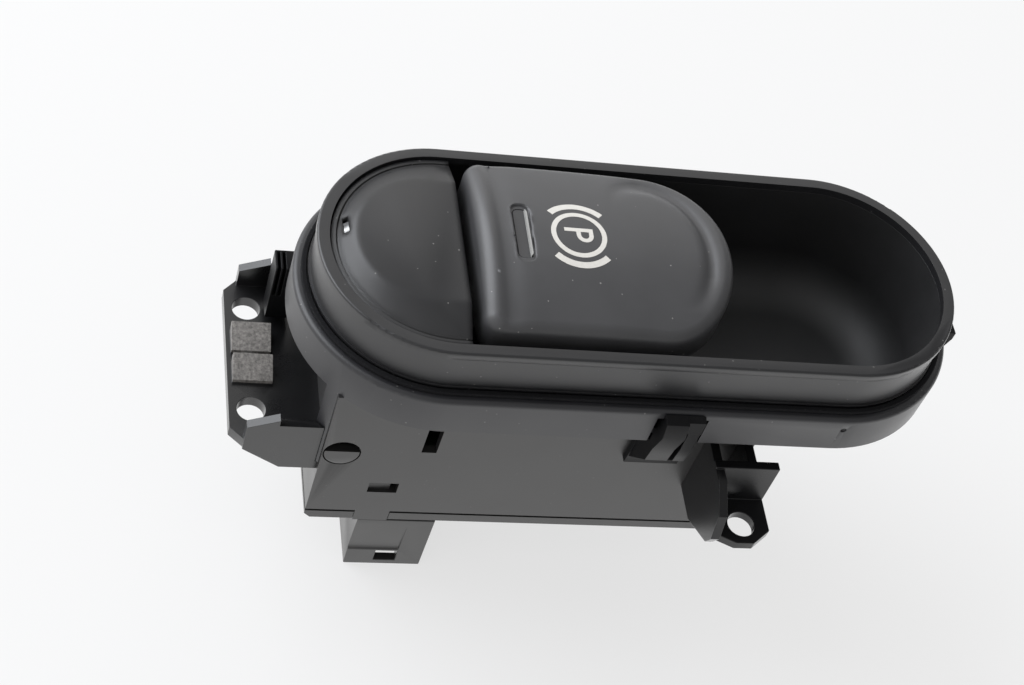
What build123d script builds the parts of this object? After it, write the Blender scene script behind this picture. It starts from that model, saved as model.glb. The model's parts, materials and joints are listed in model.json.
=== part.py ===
from build123d import *
import os
from math import acos, cos, degrees, radians, sin, sqrt

# Parking brake switch for a centre console, in millimetres.
# The origin is the centre of the console cut-out, on the plane where the console rests on the
# seal. +X runs along the switch towards the finger pocket, +Y away from the driver's side, and
# +Z out of the console towards the hand.

# Bezel ring
RING_LENGTH = 112.0
RING_WIDTH = 44.0
RIM_HEIGHT = 8.8
RIM_BAND = 2.1
RIM_THICK = 1.5
RIM_LEDGE = 0.25
RIM_EDGE = 0.45
RING_WALL = 0.9
RING_FOOT = -6.4
BEAD_OUT = 0.3
BEAD_LOW = 0.1
BEAD_HIGH = 0.55

# Carrier frame under the console: flange, skirt, deck and two corner strips
SEAL_THICK = 0.8
SEAL_EDGE = 1.3
FLANGE_ROUND = 0.9
FLANGE_REACH = 2.4
FLANGE_THICK = 1.6
SKIRT_WALL = 1.6
SKIRT_FOOT = -8.7
DECK_THICK = 1.5
DECK_LAND = 0.6
DECK_BOSS_R = 2.4
DECK_BOSS_HEIGHT = 4.2
STRIP_FOOT = -28.4
STRIP_WIDTH = 2.5
DIMPLE_X = 34.6
DIMPLE_Z = -3.4
DIMPLE_R = 0.55

# Running and seating clearances
SEAT_GAP = 0.1
PIN_GAP = 0.02
RUN_GAP = 0.05
SLIDE_GAP = 0.15
SCREW_GAP = 0.05

# Housing box, bottom cover and what shows on the front wall
BOX_LEFT = -50.7
BOX_RIGHT = 24.5
BOX_HALF = 18.6
BOX_FOOT = -41.5
BOX_WALL = 1.6
COVER_FOOT = -44.4
COVER_PLATE = 1.6
COVER_LIP = 2.2
COVER_BEVEL = 1.5
SEAM = 0.5
TONGUE_LEFT = -41.9
TONGUE_RIGHT = -35.7
NUB_X = -47.35
NUB_Z = -24.3
NUB_R = 3.25
NUB_FLAT = 0.5
NUB_GAP = 0.25
TALL_SLOT_X = -32.6
TALL_SLOT_WIDTH = 2.6
TALL_SLOT_TOP = -13.0
TALL_SLOT_FOOT = -23.1
WINDOW_X = -38.35
WINDOW_WIDTH = 5.2
WINDOW_TOP = -32.8
WINDOW_FOOT = -35.6
WINDOW_CATCH = 4.0
POST_R = 2.9
POST_INSET = 3.4

# Finger pocket
POCKET_LEFT = -1.5
POCKET_FLOOR = -17.0
POCKET_WALL = 0.85
POCKET_BASE = 1.2
POCKET_SILL = 1.0
POCKET_ROUND = 9.0

# Blank cap at the closed end
CAP_EDGE_X = -32.3
CAP_GAP = 0.25
CAP_LIP = 0.8
CAP_LIP_TOP = 8.3
CAP_GROOVE = 0.3
CAP_GROOVE_DEPTH = 0.7
CAP_RISE = 2.2
CAP_BORDER = 2.5
CAP_SHOULDER = 5.8
CAP_WALL = 1.5
CAP_DOOR_HALF = 14.4
CAP_DOOR_TOP = 5.0
LENS_INSET = 4.8
LENS_Y = 2.2
LENS_LENGTH = 2.2
LENS_WIDTH = 0.7
LENS_HOLE = 3.6
LENS_DEPTH = 1.6

# Paddle
PADDLE_LEFT = -30.5
PADDLE_HALF = 17.8
PADDLE_ROUND_X = 0.2
PADDLE_ROUND = 13.9
PADDLE_FOOT = 4.6
PADDLE_TOP = 14.2
CROWN_X = -20.0
CROWN_R = 47.0
CROWN_LONG_R = 430.0
SHOULDER_R = 2.6
CORNER_R = 3.0
PADDLE_WALL = 1.8
PADDLE_TRAY_X = -3.0
HOLLOW_LENGTH = 9.5
HOLLOW_HALF = 14.3
HOLLOW_LEFT = -4.0
HOLLOW_DEPTH = 0.6
SLOT_X = -23.0
SLOT_LENGTH = 12.2
SLOT_WIDTH = 3.2
SLOT_DEPTH = 0.8
SLOT_FLAT = 0.3
INDICATOR_LENGTH = 10.2
INDICATOR_WIDTH = 2.3
INDICATOR_EDGE = 0.35
INDICATOR_LIP = 0.5

# Pivot, lever and its stops
PIVOT_X = -24.0
PIVOT_Z = 1.5
PIN_R = 1.5
HUB_R = 3.5
PULL_TRAVEL = 8.0
PUSH_TRAVEL = 4.0
CHEEK_IN = 9.9
CHEEK_THICK = 2.0
CHEEK_LOW = -2.0
CHEEK_HIGH = 3.0
ARM_REACH = 14.0
LUG_THICK = 2.0
LUG_R = 3.0
LUG_FOOT_HALF = 4.5
LUG_GAP = 0.3
SADDLE_LOW = 4.8
SADDLE_THICK = 1.5
SADDLE_LEFT = -28.2
SADDLE_RIGHT = -9.0
SADDLE_HALF = 15.6
PADDLE_SCREW_X = -17.6
PADDLE_SCREW_PITCH = 7.0
PADDLE_SCREW_Y = 13.9
PADDLE_POST_R = 1.6
TAPPET_OFFSET = 12.0
NOSE_R = 1.5
BLADE_THICK = 3.2
BLADE_HALF = 4.0
FINGER_R = 2.0
FINGER_Z = -25.0
PAD_R = 1.8
PAD_THICK = 1.2
PEDESTAL_R = 2.1

# Mechanism base
BASE_LEFT = -47.5
BASE_RIGHT = -4.4
BASE_TOP = -8.7
BASE_THICK = 2.0
BASE_WINDOW = 7.5
GUIDE_R = 4.0
GUIDE_FOOT = -16.0
BASE_SCREW_X = 3.5
SCREW_R = 0.95
SCREW_HEAD_R = 1.8
SCREW_HEAD = 1.5
SCREW_LENGTH = 6.0

# Tappets and their springs
TAPPET_R = 2.4
TAPPET_HEAD_R = 4.2
TAPPET_HEAD = 1.2
TAPPET_FOOT = -18.5
SPRING_R = 3.25
SPRING_WIRE = 0.3
SPRING_TURNS = 3.5

# Contact slider and wipers
SLIDER_HALF_X = 9.0
SLIDER_HALF_Y = 8.0
SLIDER_TOP = -22.8
SLIDER_FOOT = -27.2
RAIL_THICK = 1.6
RAIL_SHELF = 1.4
WIPER_X = 5.4
WIPER_WIDTH = 1.6
WIPER_PITCH = 5.0
WIPER_THICK = 0.25
WIPER_SPAN = 5.0

# Circuit board, its components and the light path
BOARD_TOP = -30.0
BOARD_THICK = 1.6
BOARD_GAP = 0.4
CHIP_SIZE = 7.0
CHIP_HEIGHT = 1.1
COIL_R = 2.5
COIL_HEIGHT = 5.2
CHIP_X = 10.0
LED_X = -6.1
LED_SIZE = 2.2
LED_HEIGHT = 1.2
GUIDE_BAR_X = 2.2
GUIDE_BAR_Y = 6.0
GUIDE_BAR_TOP = 2.6
DIFFUSER_LEFT = -25.8
DIFFUSER_RIGHT = -5.0
DIFFUSER_HALF = 7.0
DIFFUSER_HEIGHT = 5.2
DIFFUSER_WALL = 1.0

# Connector
SHROUD_LEFT = -40.9
SHROUD_RIGHT = -26.8
SHROUD_DEPTH = 24.0
SHROUD_FOOT = -58.9
SHROUD_WALL = 1.6
LATCH_X = -33.6
LATCH_WIDTH = 4.0
LATCH_TOP = -54.6
LATCH_FOOT = -57.6
RAMP_DEPTH = 0.35
PIN_ROWS = 2
PINS_PER_ROW = 5
PIN_PITCH = 3.6
PIN_ROW_PITCH = 5.0
PIN_SIZE = 0.64
PIN_FOOT = -53.0
HEADER_THICK = 4.0

# End bracket with two ears
EAR_TOP = -23.5
EAR_THICK = 2.3
EAR_HOLE_R = 2.45
END_EAR_X = -62.4
END_EAR_Y = 10.8
END_LEFT = -66.2
END_PLATE_RIGHT = -58.6
END_HALF = 17.5
END_WALL = 1.6
END_CORNER = 2.8
END_WALL_LOW = -30.6
END_WALL_OUT_TOP = -19.7
END_WALL_PEAK = -17.4
END_WALL_TOP = -18.8
END_WALL_OUT = -63.9
END_SLOPE_X = -57.1
WEDGE_LEFT = -65.4
WEDGE_BACK = 5.8
WEDGE_FRONT = 5.5
WEDGE_SLIT_BACK = 0.8
WEDGE_SLIT_FRONT = 1.0
WEDGE_TOP = 2.6
WEDGE_LOW = 0.9

# Side brackets with one ear each
SIDE_WEB_X = 15.2
SIDE_WEB = 1.6
SIDE_EAR_X = 21.85
SIDE_EAR_INSET = 3.9
SIDE_RIGHT = 26.9
SIDE_OUT = 34.6
SIDE_BACK_INSET = 9.1
SIDE_BACK_TOP = -14.2
SIDE_PLATE = 1.8
SIDE_TOP = -14.6
SIDE_LOW = -30.4
SIDE_CORNER = 3.4
SIDE_SHOULDER = 2.7
SIDE_CHEEK = 1.3
SIDE_CHEEK_DROP = 3.0
SIDE_NOSE_DROP = 8.0
SIDE_CHIN_DROP = 10.8

# Panel clips
CLIP_LEFT = 2.0
CLIP_TONGUE_RIGHT = 6.0
CLIP_RIB_LEFT = 6.9
CLIP_RIGHT = 9.0
CLIP_OUT = 2.6
CLIP_TOP = -0.9
CLIP_HEAD = 3.7
CLIP_WAIST = -9.5
CLIP_FOOT = -20.0
CLIP_THICK = 1.2
CLIP_BASE_LEFT = 1.6
CLIP_BASE_RIGHT = 11.4
CLIP_BASE_TOP = -13.5
CLIP_BASE_KNEE = -17.5
CLIP_BASE_FOOT = -21.8
CLIP_NOTCH = 1.0
END_CLIP_OUT = 3.0
END_CLIP_WIDTH = 5.0
END_CLIP_FOOT = -13.5
LUG_CLIP_X = -59.5
LUG_CLIP_DEPTH = 4.3
LUG_GROOVE = 0.45
LUG_GROOVE_FOOT = -16.0
LUG_CLIP_Y = 10.0
LUG_CLIP_WIDTH = 4.2
LUG_CLIP_FOOT = -22.0

os.makedirs("parts", exist_ok=True)


def block(x_low, x_high, y_low, y_high, z_low, z_high):
    """A box between two corners."""
    size = (x_high - x_low, y_high - y_low, z_high - z_low)
    middle = ((x_low + x_high) / 2, (y_low + y_high) / 2, (z_low + z_high) / 2)
    return Pos(*middle) * Box(*size)


def rod(x, y, z_low, z_high, radius):
    """An upright cylinder."""
    return Pos(x, y, (z_low + z_high) / 2) * Cylinder(radius, z_high - z_low)


def cross_rod(x, z, half, radius):
    """A cylinder along Y, centred on the middle plane."""
    return Pos(x, 0, z) * Rot(90, 0, 0) * Cylinder(radius, 2 * half)


def stadium(inset, z_low, z_high):
    """The ring's outline, moved inwards by inset, between two heights."""
    outline = SlotOverall(RING_LENGTH - 2 * inset, RING_WIDTH - 2 * inset)
    return Pos(0, 0, z_low) * extrude(outline, z_high - z_low)


def side_plate(points, y_low, y_high):
    """A polygon of (x, z) points, carried along Y."""
    face = Plane.XZ * make_face(Polyline(*points, close=True))
    return Pos(0, y_high, 0) * extrude(face, y_high - y_low)


def end_plate(points, x_low, x_high):
    """A polygon of (y, z) points, carried along X."""
    face = Plane.YZ * make_face(Polyline(*points, close=True))
    return Pos(x_low, 0, 0) * extrude(face, x_high - x_low)


def flat_plate(points, z_low, z_high):
    """A polygon of (x, y) points, carried along Z."""
    return Pos(0, 0, z_low) * extrude(make_face(Polyline(*points, close=True)), z_high - z_low)


def mirrored(shape):
    """The same shape on the other side of the middle plane."""
    return mirror(shape, about=Plane.XZ)


def save(shape, name):
    """One file for each named piece."""
    export_step(shape, f"parts/{name}.step")


def save_group(shapes, name):
    """Several separate solids of one kind in one file."""
    export_step(Compound(children=list(shapes)), f"parts/{name}.step")


# Values worked out from the driving dimensions
RING_OUT = RIM_LEDGE
LENS_X = LENS_INSET - RING_LENGTH / 2
RING_IN = RIM_LEDGE + RING_WALL
END_CENTRE = RING_LENGTH / 2 - RING_WIDTH / 2
SKIRT_R = RING_WIDTH / 2 + FLANGE_REACH
FLANGE_TOP = -SEAL_THICK
DECK_TOP = SKIRT_FOOT + DECK_THICK
BOX_IN = BOX_HALF - BOX_WALL
HEADER_LOW = COVER_FOOT - HEADER_THICK
BASE_HALF = BOX_IN - 2 * SEAT_GAP
BASE_SCREW_Y = BASE_HALF - DECK_BOSS_R
DECK_OPENING_Y = BASE_SCREW_Y + DECK_LAND
SIDE_EAR_Y = SIDE_OUT - SIDE_EAR_INSET
SIDE_BACK_Y = SIDE_OUT - SIDE_BACK_INSET
BASE_SCREWS = [
    (x, y)
    for x in (BASE_LEFT + BASE_SCREW_X, BASE_RIGHT - BASE_SCREW_X)
    for y in (-BASE_SCREW_Y, BASE_SCREW_Y)
]
POSTS = [
    (x, y)
    for x in (BOX_LEFT + BOX_WALL + POST_INSET, BOX_RIGHT - BOX_WALL - POST_INSET)
    for y in (POST_INSET - BOX_IN, BOX_IN - POST_INSET)
]


def bezel_ring():
    """The ring that shows above the console, with its rim, wall and foot bead."""
    rim = stadium(0, RIM_HEIGHT - RIM_THICK, RIM_HEIGHT)
    rim = fillet(rim.faces().sort_by(Axis.Z)[-1].edges(), RIM_EDGE)
    rim -= stadium(RIM_BAND, RIM_HEIGHT - 2 * RIM_THICK, RIM_HEIGHT + RIM_THICK)
    wall = stadium(RING_OUT, RING_FOOT, RIM_HEIGHT - RIM_THICK)
    wall -= stadium(RING_IN, RING_FOOT - 1, RIM_HEIGHT)
    bead = stadium(RING_OUT - BEAD_OUT, BEAD_LOW, BEAD_HIGH) - stadium(RING_IN, -1, 1)
    return rim + wall + bead


def strip_angles():
    """Where the corner strip starts, beside the box's left wall, and how far it turns."""
    start = degrees(acos((-BOX_LEFT - END_CENTRE) / SKIRT_R))
    return start, degrees(STRIP_WIDTH / SKIRT_R)


def corner_sector(r_in, r_out, z_low, z_high):
    """A piece of the skirt's round end between two angles, at the front left corner."""
    start, turn = strip_angles()
    low = radians(180 + start - turn)
    high = radians(180 + start)
    ring = Circle(r_out) - Circle(r_in)
    far = 2 * r_out
    corner = Polyline(
        (0, 0), (far * cos(low), far * sin(low)), (far * cos(high), far * sin(high)), close=True
    )
    return Pos(-END_CENTRE, 0, z_low) * extrude(ring & make_face(corner), z_high - z_low)


def carrier_frame():
    """Flange, skirt and inner deck, with the strips that run down the box's left corners."""
    flange = stadium(-FLANGE_REACH, FLANGE_TOP - FLANGE_THICK, FLANGE_TOP)
    flange = fillet(flange.faces().sort_by(Axis.Z)[-1].edges(), FLANGE_ROUND)
    flange -= stadium(RING_OUT - SEAT_GAP, FLANGE_TOP - 2 * FLANGE_THICK, 1)
    skirt = stadium(-FLANGE_REACH, SKIRT_FOOT, FLANGE_TOP - FLANGE_THICK)
    skirt -= stadium(SKIRT_WALL - FLANGE_REACH, SKIRT_FOOT - 1, 0)
    deck = stadium(SKIRT_WALL - FLANGE_REACH, SKIRT_FOOT, DECK_TOP)
    deck -= stadium(RIM_BAND - POCKET_WALL - SEAT_GAP, SKIRT_FOOT - 1, 0) & block(
        POCKET_LEFT - POCKET_WALL - SEAT_GAP, RING_LENGTH, -RING_WIDTH, RING_WIDTH, SKIRT_FOOT - 1, 0
    )
    opening_right = POCKET_LEFT
    deck -= block(
        BASE_LEFT + 2 * BASE_SCREW_X, opening_right, -DECK_OPENING_Y, DECK_OPENING_Y, SKIRT_FOOT - 1, 0
    )
    strip = corner_sector(SKIRT_R - SKIRT_WALL, SKIRT_R, STRIP_FOOT, SKIRT_FOOT)
    frame = flange + skirt + deck + strip + mirrored(strip)
    for x, y in BASE_SCREWS:
        frame += rod(x, y, SKIRT_FOOT, DECK_TOP + DECK_BOSS_HEIGHT, DECK_BOSS_R)
        frame -= rod(x, y, SKIRT_FOOT - 1, DECK_TOP + DECK_BOSS_HEIGHT - 1, SCREW_R + SCREW_GAP)
    notch = block(
        CLIP_LEFT - CLIP_NOTCH,
        CLIP_RIGHT + CLIP_NOTCH,
        -SKIRT_R - 1,
        -SKIRT_R + SKIRT_WALL,
        SKIRT_FOOT - 1,
        FLANGE_TOP - FLANGE_THICK,
    )
    dimple = Pos(DIMPLE_X, -SKIRT_R, DIMPLE_Z) * Sphere(DIMPLE_R)
    return frame - notch - mirrored(notch) - dimple


def seal_strip():
    """The foam strip that the console presses on."""
    strip = stadium(SEAL_EDGE - FLANGE_REACH, FLANGE_TOP, 0)
    return strip - stadium(RING_OUT - BEAD_OUT - SEAT_GAP, FLANGE_TOP - 1, 1)


def cap_dome(inset):
    """The cap's dome, moved inwards by inset: a sloping border with a flat top inside it."""
    edge = RIM_BAND + CAP_GAP + CAP_LIP + CAP_GROOVE + inset
    length = RING_LENGTH - 2 * edge
    width = RING_WIDTH - 2 * edge
    low = CAP_LIP_TOP - inset
    rim = Pos(0, 0, low) * SlotOverall(length, width)
    top = Pos(0, 0, low + CAP_RISE) * SlotOverall(length - 2 * CAP_BORDER, width - 2 * CAP_SHOULDER)
    return stadium(edge, 0, low) + loft([rim, top], ruled=True)


def blank_cap():
    """The fixed cap at the closed end: a lip, a fine groove and a low dome."""
    outside = RIM_BAND + CAP_GAP
    lip = stadium(outside, DECK_TOP, CAP_LIP_TOP)
    lip -= stadium(outside + CAP_LIP, CAP_LIP_TOP - CAP_GROOVE_DEPTH, RIM_HEIGHT)
    hollow = stadium(outside + CAP_WALL, DECK_TOP - 1, CAP_LIP_TOP - CAP_WALL) + cap_dome(CAP_WALL)
    front = block(-RING_LENGTH, CAP_EDGE_X, -RING_WIDTH, RING_WIDTH, DECK_TOP - 1, 2 * RIM_HEIGHT)
    inner = block(
        -RING_LENGTH, CAP_EDGE_X - CAP_WALL, -RING_WIDTH, RING_WIDTH, DECK_TOP - 2, 2 * RIM_HEIGHT
    )
    cap = (lip + cap_dome(0)) & front
    cap -= hollow & inner
    cap -= block(
        CAP_EDGE_X - CAP_WALL - 1,
        CAP_EDGE_X + 1,
        -CAP_DOOR_HALF,
        CAP_DOOR_HALF,
        DECK_TOP - 1,
        CAP_DOOR_TOP,
    )
    for x, y in BASE_SCREWS:
        cap -= rod(x, y, DECK_TOP - 1, DECK_TOP + DECK_BOSS_HEIGHT + 1, DECK_BOSS_R + 2 * SEAT_GAP)
    half = LENS_WIDTH / 2 + SEAT_GAP
    low = LENS_Y - LENS_LENGTH / 2 - SEAT_GAP
    return cap - block(LENS_X - half, LENS_X + half, low, low + LENS_HOLE, CAP_LIP_TOP - CAP_WALL, 2 * RIM_HEIGHT)


def locator_lens():
    """A small clear lens that a night light shines through."""
    half = LENS_WIDTH / 2
    low = LENS_Y - LENS_LENGTH / 2
    window = block(LENS_X - half, LENS_X + half, low, low + LENS_LENGTH, CAP_LIP_TOP - LENS_DEPTH, 2 * RIM_HEIGHT)
    return window & cap_dome(0)


def pocket_form(grow, z_low, z_high, rounding):
    """The pocket's plan, carried down and rounded where the walls meet the floor."""
    inset = RIM_BAND - grow
    form = stadium(inset, z_low, z_high) & block(
        POCKET_LEFT - grow, RING_LENGTH, -RING_WIDTH, RING_WIDTH, z_low - 1, z_high + 1
    )
    return fillet(form.faces().sort_by(Axis.Z)[0].edges(), rounding)


def finger_bowl():
    """The smooth pocket that the fingers reach into, under the paddle's free end."""
    top = RIM_HEIGHT - RIM_THICK
    outer = pocket_form(POCKET_WALL, POCKET_FLOOR - POCKET_BASE, top, POCKET_ROUND + POCKET_WALL)
    inner = pocket_form(0, POCKET_FLOOR, top + POCKET_WALL, POCKET_ROUND)
    sill = block(
        POCKET_LEFT - 2 * POCKET_WALL,
        POCKET_LEFT + POCKET_WALL,
        -RING_WIDTH / 2 + RIM_BAND,
        RING_WIDTH / 2 - RIM_BAND,
        POCKET_SILL,
        top + 1,
    )
    return outer - inner - sill


def bowl_room():
    """The space that the pieces round the pocket leave free for it."""
    return pocket_form(
        POCKET_WALL + 2 * SEAT_GAP,
        POCKET_FLOOR - POCKET_BASE - 2 * SEAT_GAP,
        SKIRT_FOOT + 1,
        POCKET_ROUND + POCKET_WALL,
    )


def strip_room():
    """The space that the pieces beside the corner strips leave free for them."""
    corner = corner_sector(SKIRT_R - SKIRT_WALL - SEAT_GAP, SKIRT_R + SEAT_GAP, STRIP_FOOT - SEAT_GAP, 0)
    return corner + mirrored(corner)


def housing_shell():
    """The box that holds the mechanism, open below, with its slots and catch on the front."""
    box = block(BOX_LEFT, BOX_RIGHT, -BOX_HALF, BOX_HALF, BOX_FOOT, SKIRT_FOOT)
    box -= block(
        BOX_LEFT + BOX_WALL, BOX_RIGHT - BOX_WALL, -BOX_IN, BOX_IN, BOX_FOOT - 1, SKIRT_FOOT + 1
    )
    box -= bowl_room()
    for x, y in POSTS:
        box += rod(x, y, BOX_FOOT, BOARD_TOP - BOARD_THICK, POST_R)
        box += block(
            min(x, BOX_LEFT + BOX_WALL) if x < 0 else x,
            x if x < 0 else BOX_RIGHT - BOX_WALL,
            y - 1,
            y + 1,
            BOX_FOOT,
            BOARD_TOP - BOARD_THICK,
        )
        box -= rod(x, y, BOX_FOOT - 1, BOARD_TOP + 1, SCREW_R + SCREW_GAP)
    front = -BOX_HALF
    half_slot = TALL_SLOT_WIDTH / 2
    box -= block(
        TALL_SLOT_X - half_slot, TALL_SLOT_X + half_slot, front - 1, -BOX_IN, TALL_SLOT_FOOT, TALL_SLOT_TOP
    )
    half_window = WINDOW_WIDTH / 2
    box -= block(
        WINDOW_X - half_window, WINDOW_X + half_window, front - 1, -BOX_IN, WINDOW_FOOT, WINDOW_TOP
    )
    catch_left = WINDOW_X - half_window
    box += block(catch_left, catch_left + WINDOW_CATCH, front + BOX_WALL / 2, -BOX_IN, WINDOW_FOOT, WINDOW_TOP)
    recess = Pos(NUB_X, front + BOX_WALL / 2, NUB_Z) * Rot(90, 0, 0) * Cylinder(NUB_R, BOX_WALL)
    inside = Pos(NUB_X, front + BOX_WALL / 2, NUB_Z) * Rot(90, 0, 0) * Cylinder(NUB_R - NUB_GAP, BOX_WALL)
    nub = inside & block(BOX_LEFT, 0, front, -BOX_IN, NUB_Z - 2 * NUB_R, NUB_Z + NUB_FLAT)
    web = recess & block(BOX_LEFT, 0, front + BOX_WALL / 2, -BOX_IN, NUB_Z - 2 * NUB_R, NUB_Z + NUB_FLAT)
    box = box - recess + nub + web
    tongue = block(TONGUE_LEFT, TONGUE_RIGHT, front, -BOX_IN, COVER_FOOT, BOX_FOOT)
    box += tongue
    return box - strip_room()


def bottom_cover():
    """The lid under the box, with a raised lip inside the walls."""
    plate = block(BOX_LEFT, BOX_RIGHT, -BOX_HALF, BOX_HALF, COVER_FOOT, BOX_FOOT - SEAM)
    edges = plate.faces().sort_by(Axis.Z)[0].edges()
    plate = chamfer(edges.sort_by(Axis.X)[0], COVER_BEVEL)
    edges = plate.faces().sort_by(Axis.Z)[0].edges()
    plate = chamfer(edges.sort_by(Axis.X)[1:], COVER_PLATE / 4)
    plate -= block(
        BOX_LEFT + 2 * BOX_WALL,
        BOX_RIGHT - 2 * BOX_WALL,
        -BOX_IN + BOX_WALL,
        BOX_IN - BOX_WALL,
        COVER_FOOT + COVER_PLATE,
        BOX_FOOT,
    )
    lip_in = BOX_IN - SEAT_GAP
    lip = block(
        BOX_LEFT + BOX_WALL + SEAT_GAP,
        BOX_RIGHT - BOX_WALL - SEAT_GAP,
        -lip_in,
        lip_in,
        BOX_FOOT - SEAM,
        BOX_FOOT + COVER_LIP,
    )
    lip -= block(
        BOX_LEFT + 2 * BOX_WALL,
        BOX_RIGHT - 2 * BOX_WALL,
        BOX_WALL - lip_in,
        lip_in - BOX_WALL,
        BOX_FOOT - 2 * SEAM,
        BOX_FOOT + 2 * COVER_LIP,
    )
    cover = plate + lip
    for x, y in POSTS:
        cover -= rod(x, y, BOX_FOOT, BOX_FOOT + 2 * COVER_LIP, POST_R + SEAT_GAP)
        side = 1 if x > 0 else -1
        cover -= block(
            min(x, x + side * 2 * POST_INSET),
            max(x, x + side * 2 * POST_INSET),
            y - 1 - SEAT_GAP,
            y + 1 + SEAT_GAP,
            BOX_FOOT,
            BOX_FOOT + 2 * COVER_LIP,
        )
        cover += rod(x, y, COVER_FOOT, BOX_FOOT, POST_R)
        cover -= rod(x, y, COVER_FOOT - 1, BOX_FOOT + 1, SCREW_R + SCREW_GAP)
        cover -= rod(x, y, COVER_FOOT - 1, COVER_FOOT + SCREW_HEAD / 2, SCREW_HEAD_R + SEAT_GAP)
    cover -= block(
        TONGUE_LEFT - SEAT_GAP,
        TONGUE_RIGHT + SEAT_GAP,
        -BOX_HALF - 1,
        -BOX_IN + SEAT_GAP,
        COVER_FOOT - 1,
        BOX_FOOT + 1,
    )
    header = header_block(SEAT_GAP)
    return cover - header


def header_block(grow):
    """The room that the pin header takes in the cover and the shroud."""
    middle_x = (SHROUD_LEFT + SHROUD_RIGHT) / 2
    half_x = (PIN_ROWS - 1) * PIN_ROW_PITCH / 2 + PIN_PITCH / 2 + grow
    middle_y = SHROUD_DEPTH / 2 - BOX_HALF
    half_y = (PINS_PER_ROW - 1) * PIN_PITCH / 2 + PIN_PITCH / 2 + grow
    return block(
        middle_x - half_x,
        middle_x + half_x,
        middle_y - half_y,
        middle_y + half_y,
        HEADER_LOW - (1 if grow else 0),
        COVER_FOOT + COVER_PLATE + (1 if grow else 0),
    )


def connector_shroud():
    """The open socket under the cover, with a latch window in its front wall."""
    back = SHROUD_DEPTH - BOX_HALF
    tube = block(SHROUD_LEFT, SHROUD_RIGHT, -BOX_HALF, back, SHROUD_FOOT, COVER_FOOT)
    tube -= block(
        SHROUD_LEFT + SHROUD_WALL,
        SHROUD_RIGHT - SHROUD_WALL,
        SHROUD_WALL - BOX_HALF,
        back - SHROUD_WALL,
        SHROUD_FOOT - 1,
        COVER_FOOT - SHROUD_WALL,
    )
    half = LATCH_WIDTH / 2
    tube -= block(
        LATCH_X - half, LATCH_X + half, -BOX_HALF - 1, SHROUD_WALL - BOX_HALF, LATCH_FOOT, LATCH_TOP
    )
    ramp = side_cut_ramp()
    return tube - ramp - header_block(SEAT_GAP)


def side_cut_ramp():
    """A shallow sloping recess above the latch window."""
    top = COVER_FOOT - SHROUD_WALL
    points = (
        (-BOX_HALF - 1, top),
        (-BOX_HALF, top),
        (-BOX_HALF + RAMP_DEPTH, LATCH_TOP + SHROUD_WALL / 2),
        (-BOX_HALF, LATCH_TOP + SHROUD_WALL / 4),
        (-BOX_HALF - 1, LATCH_TOP + SHROUD_WALL / 4),
    )
    return end_plate(points, SHROUD_LEFT - 1, LATCH_X + LATCH_WIDTH / 2)


def pin_places():
    """Centres of the connector pins, row by row."""
    middle_x = (SHROUD_LEFT + SHROUD_RIGHT) / 2
    middle_y = SHROUD_DEPTH / 2 - BOX_HALF
    return [
        (
            middle_x + (row - (PIN_ROWS - 1) / 2) * PIN_ROW_PITCH,
            middle_y + (place - (PINS_PER_ROW - 1) / 2) * PIN_PITCH,
        )
        for row in range(PIN_ROWS)
        for place in range(PINS_PER_ROW)
    ]


def pin_bar(x, y, grow):
    """One square pin, from the board down into the socket."""
    half = PIN_SIZE / 2 + grow
    return block(x - half, x + half, y - half, y + half, PIN_FOOT - grow, BOARD_TOP + 1 + grow)


def pin_header():
    """The insulating block that holds the connector pins."""
    header = header_block(0)
    for x, y in pin_places():
        header -= pin_bar(x, y, PIN_GAP)
    return header


def connector_pins():
    """Tinned pins with pointed ends."""
    pins = []
    for x, y in pin_places():
        pin = pin_bar(x, y, 0)
        pins.append(chamfer(pin.faces().sort_by(Axis.Z)[0].edges(), PIN_SIZE / 4))
    return pins


def circuit_board():
    """The board across the box, on its four posts."""
    left = BOX_LEFT + BOX_WALL + BOARD_GAP
    right = BOX_RIGHT - BOX_WALL - BOARD_GAP
    half = BOX_IN - BOARD_GAP
    board = block(left, right, -half, half, BOARD_TOP - BOARD_THICK, BOARD_TOP)
    for x, y in POSTS:
        board -= rod(x, y, BOARD_TOP - 2 * BOARD_THICK, BOARD_TOP + 1, SCREW_R + SCREW_GAP)
    for x, y in pin_places():
        board -= pin_bar(x, y, PIN_GAP)
    return board


def board_components():
    """A controller, two capacitors and two coils, soldered to the board."""
    half = CHIP_SIZE / 2
    chip = block(CHIP_X - half, CHIP_X + half, -half, half, BOARD_TOP, BOARD_TOP + CHIP_HEIGHT)
    chip = chamfer(chip.faces().sort_by(Axis.Z)[-1].edges(), CHIP_HEIGHT / 4)
    under = BOARD_TOP - BOARD_THICK
    parts = [chip]
    for x, y in ((CHIP_X, CHIP_SIZE), (CHIP_X, -CHIP_SIZE), (-CHIP_X, CHIP_SIZE), (-CHIP_X, -CHIP_SIZE)):
        can = rod(x, y, under - COIL_HEIGHT, under, COIL_R)
        parts.append(fillet(can.faces().sort_by(Axis.Z)[0].edges(), COIL_R / 5))
    return parts


def signal_led():
    """The light source on the board, with a small domed window."""
    half = LED_SIZE / 2
    body = block(LED_X - half, LED_X + half, -half, half, BOARD_TOP, BOARD_TOP + LED_HEIGHT)
    return chamfer(body.faces().sort_by(Axis.Z)[-1].edges(), LED_HEIGHT / 4)


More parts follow.
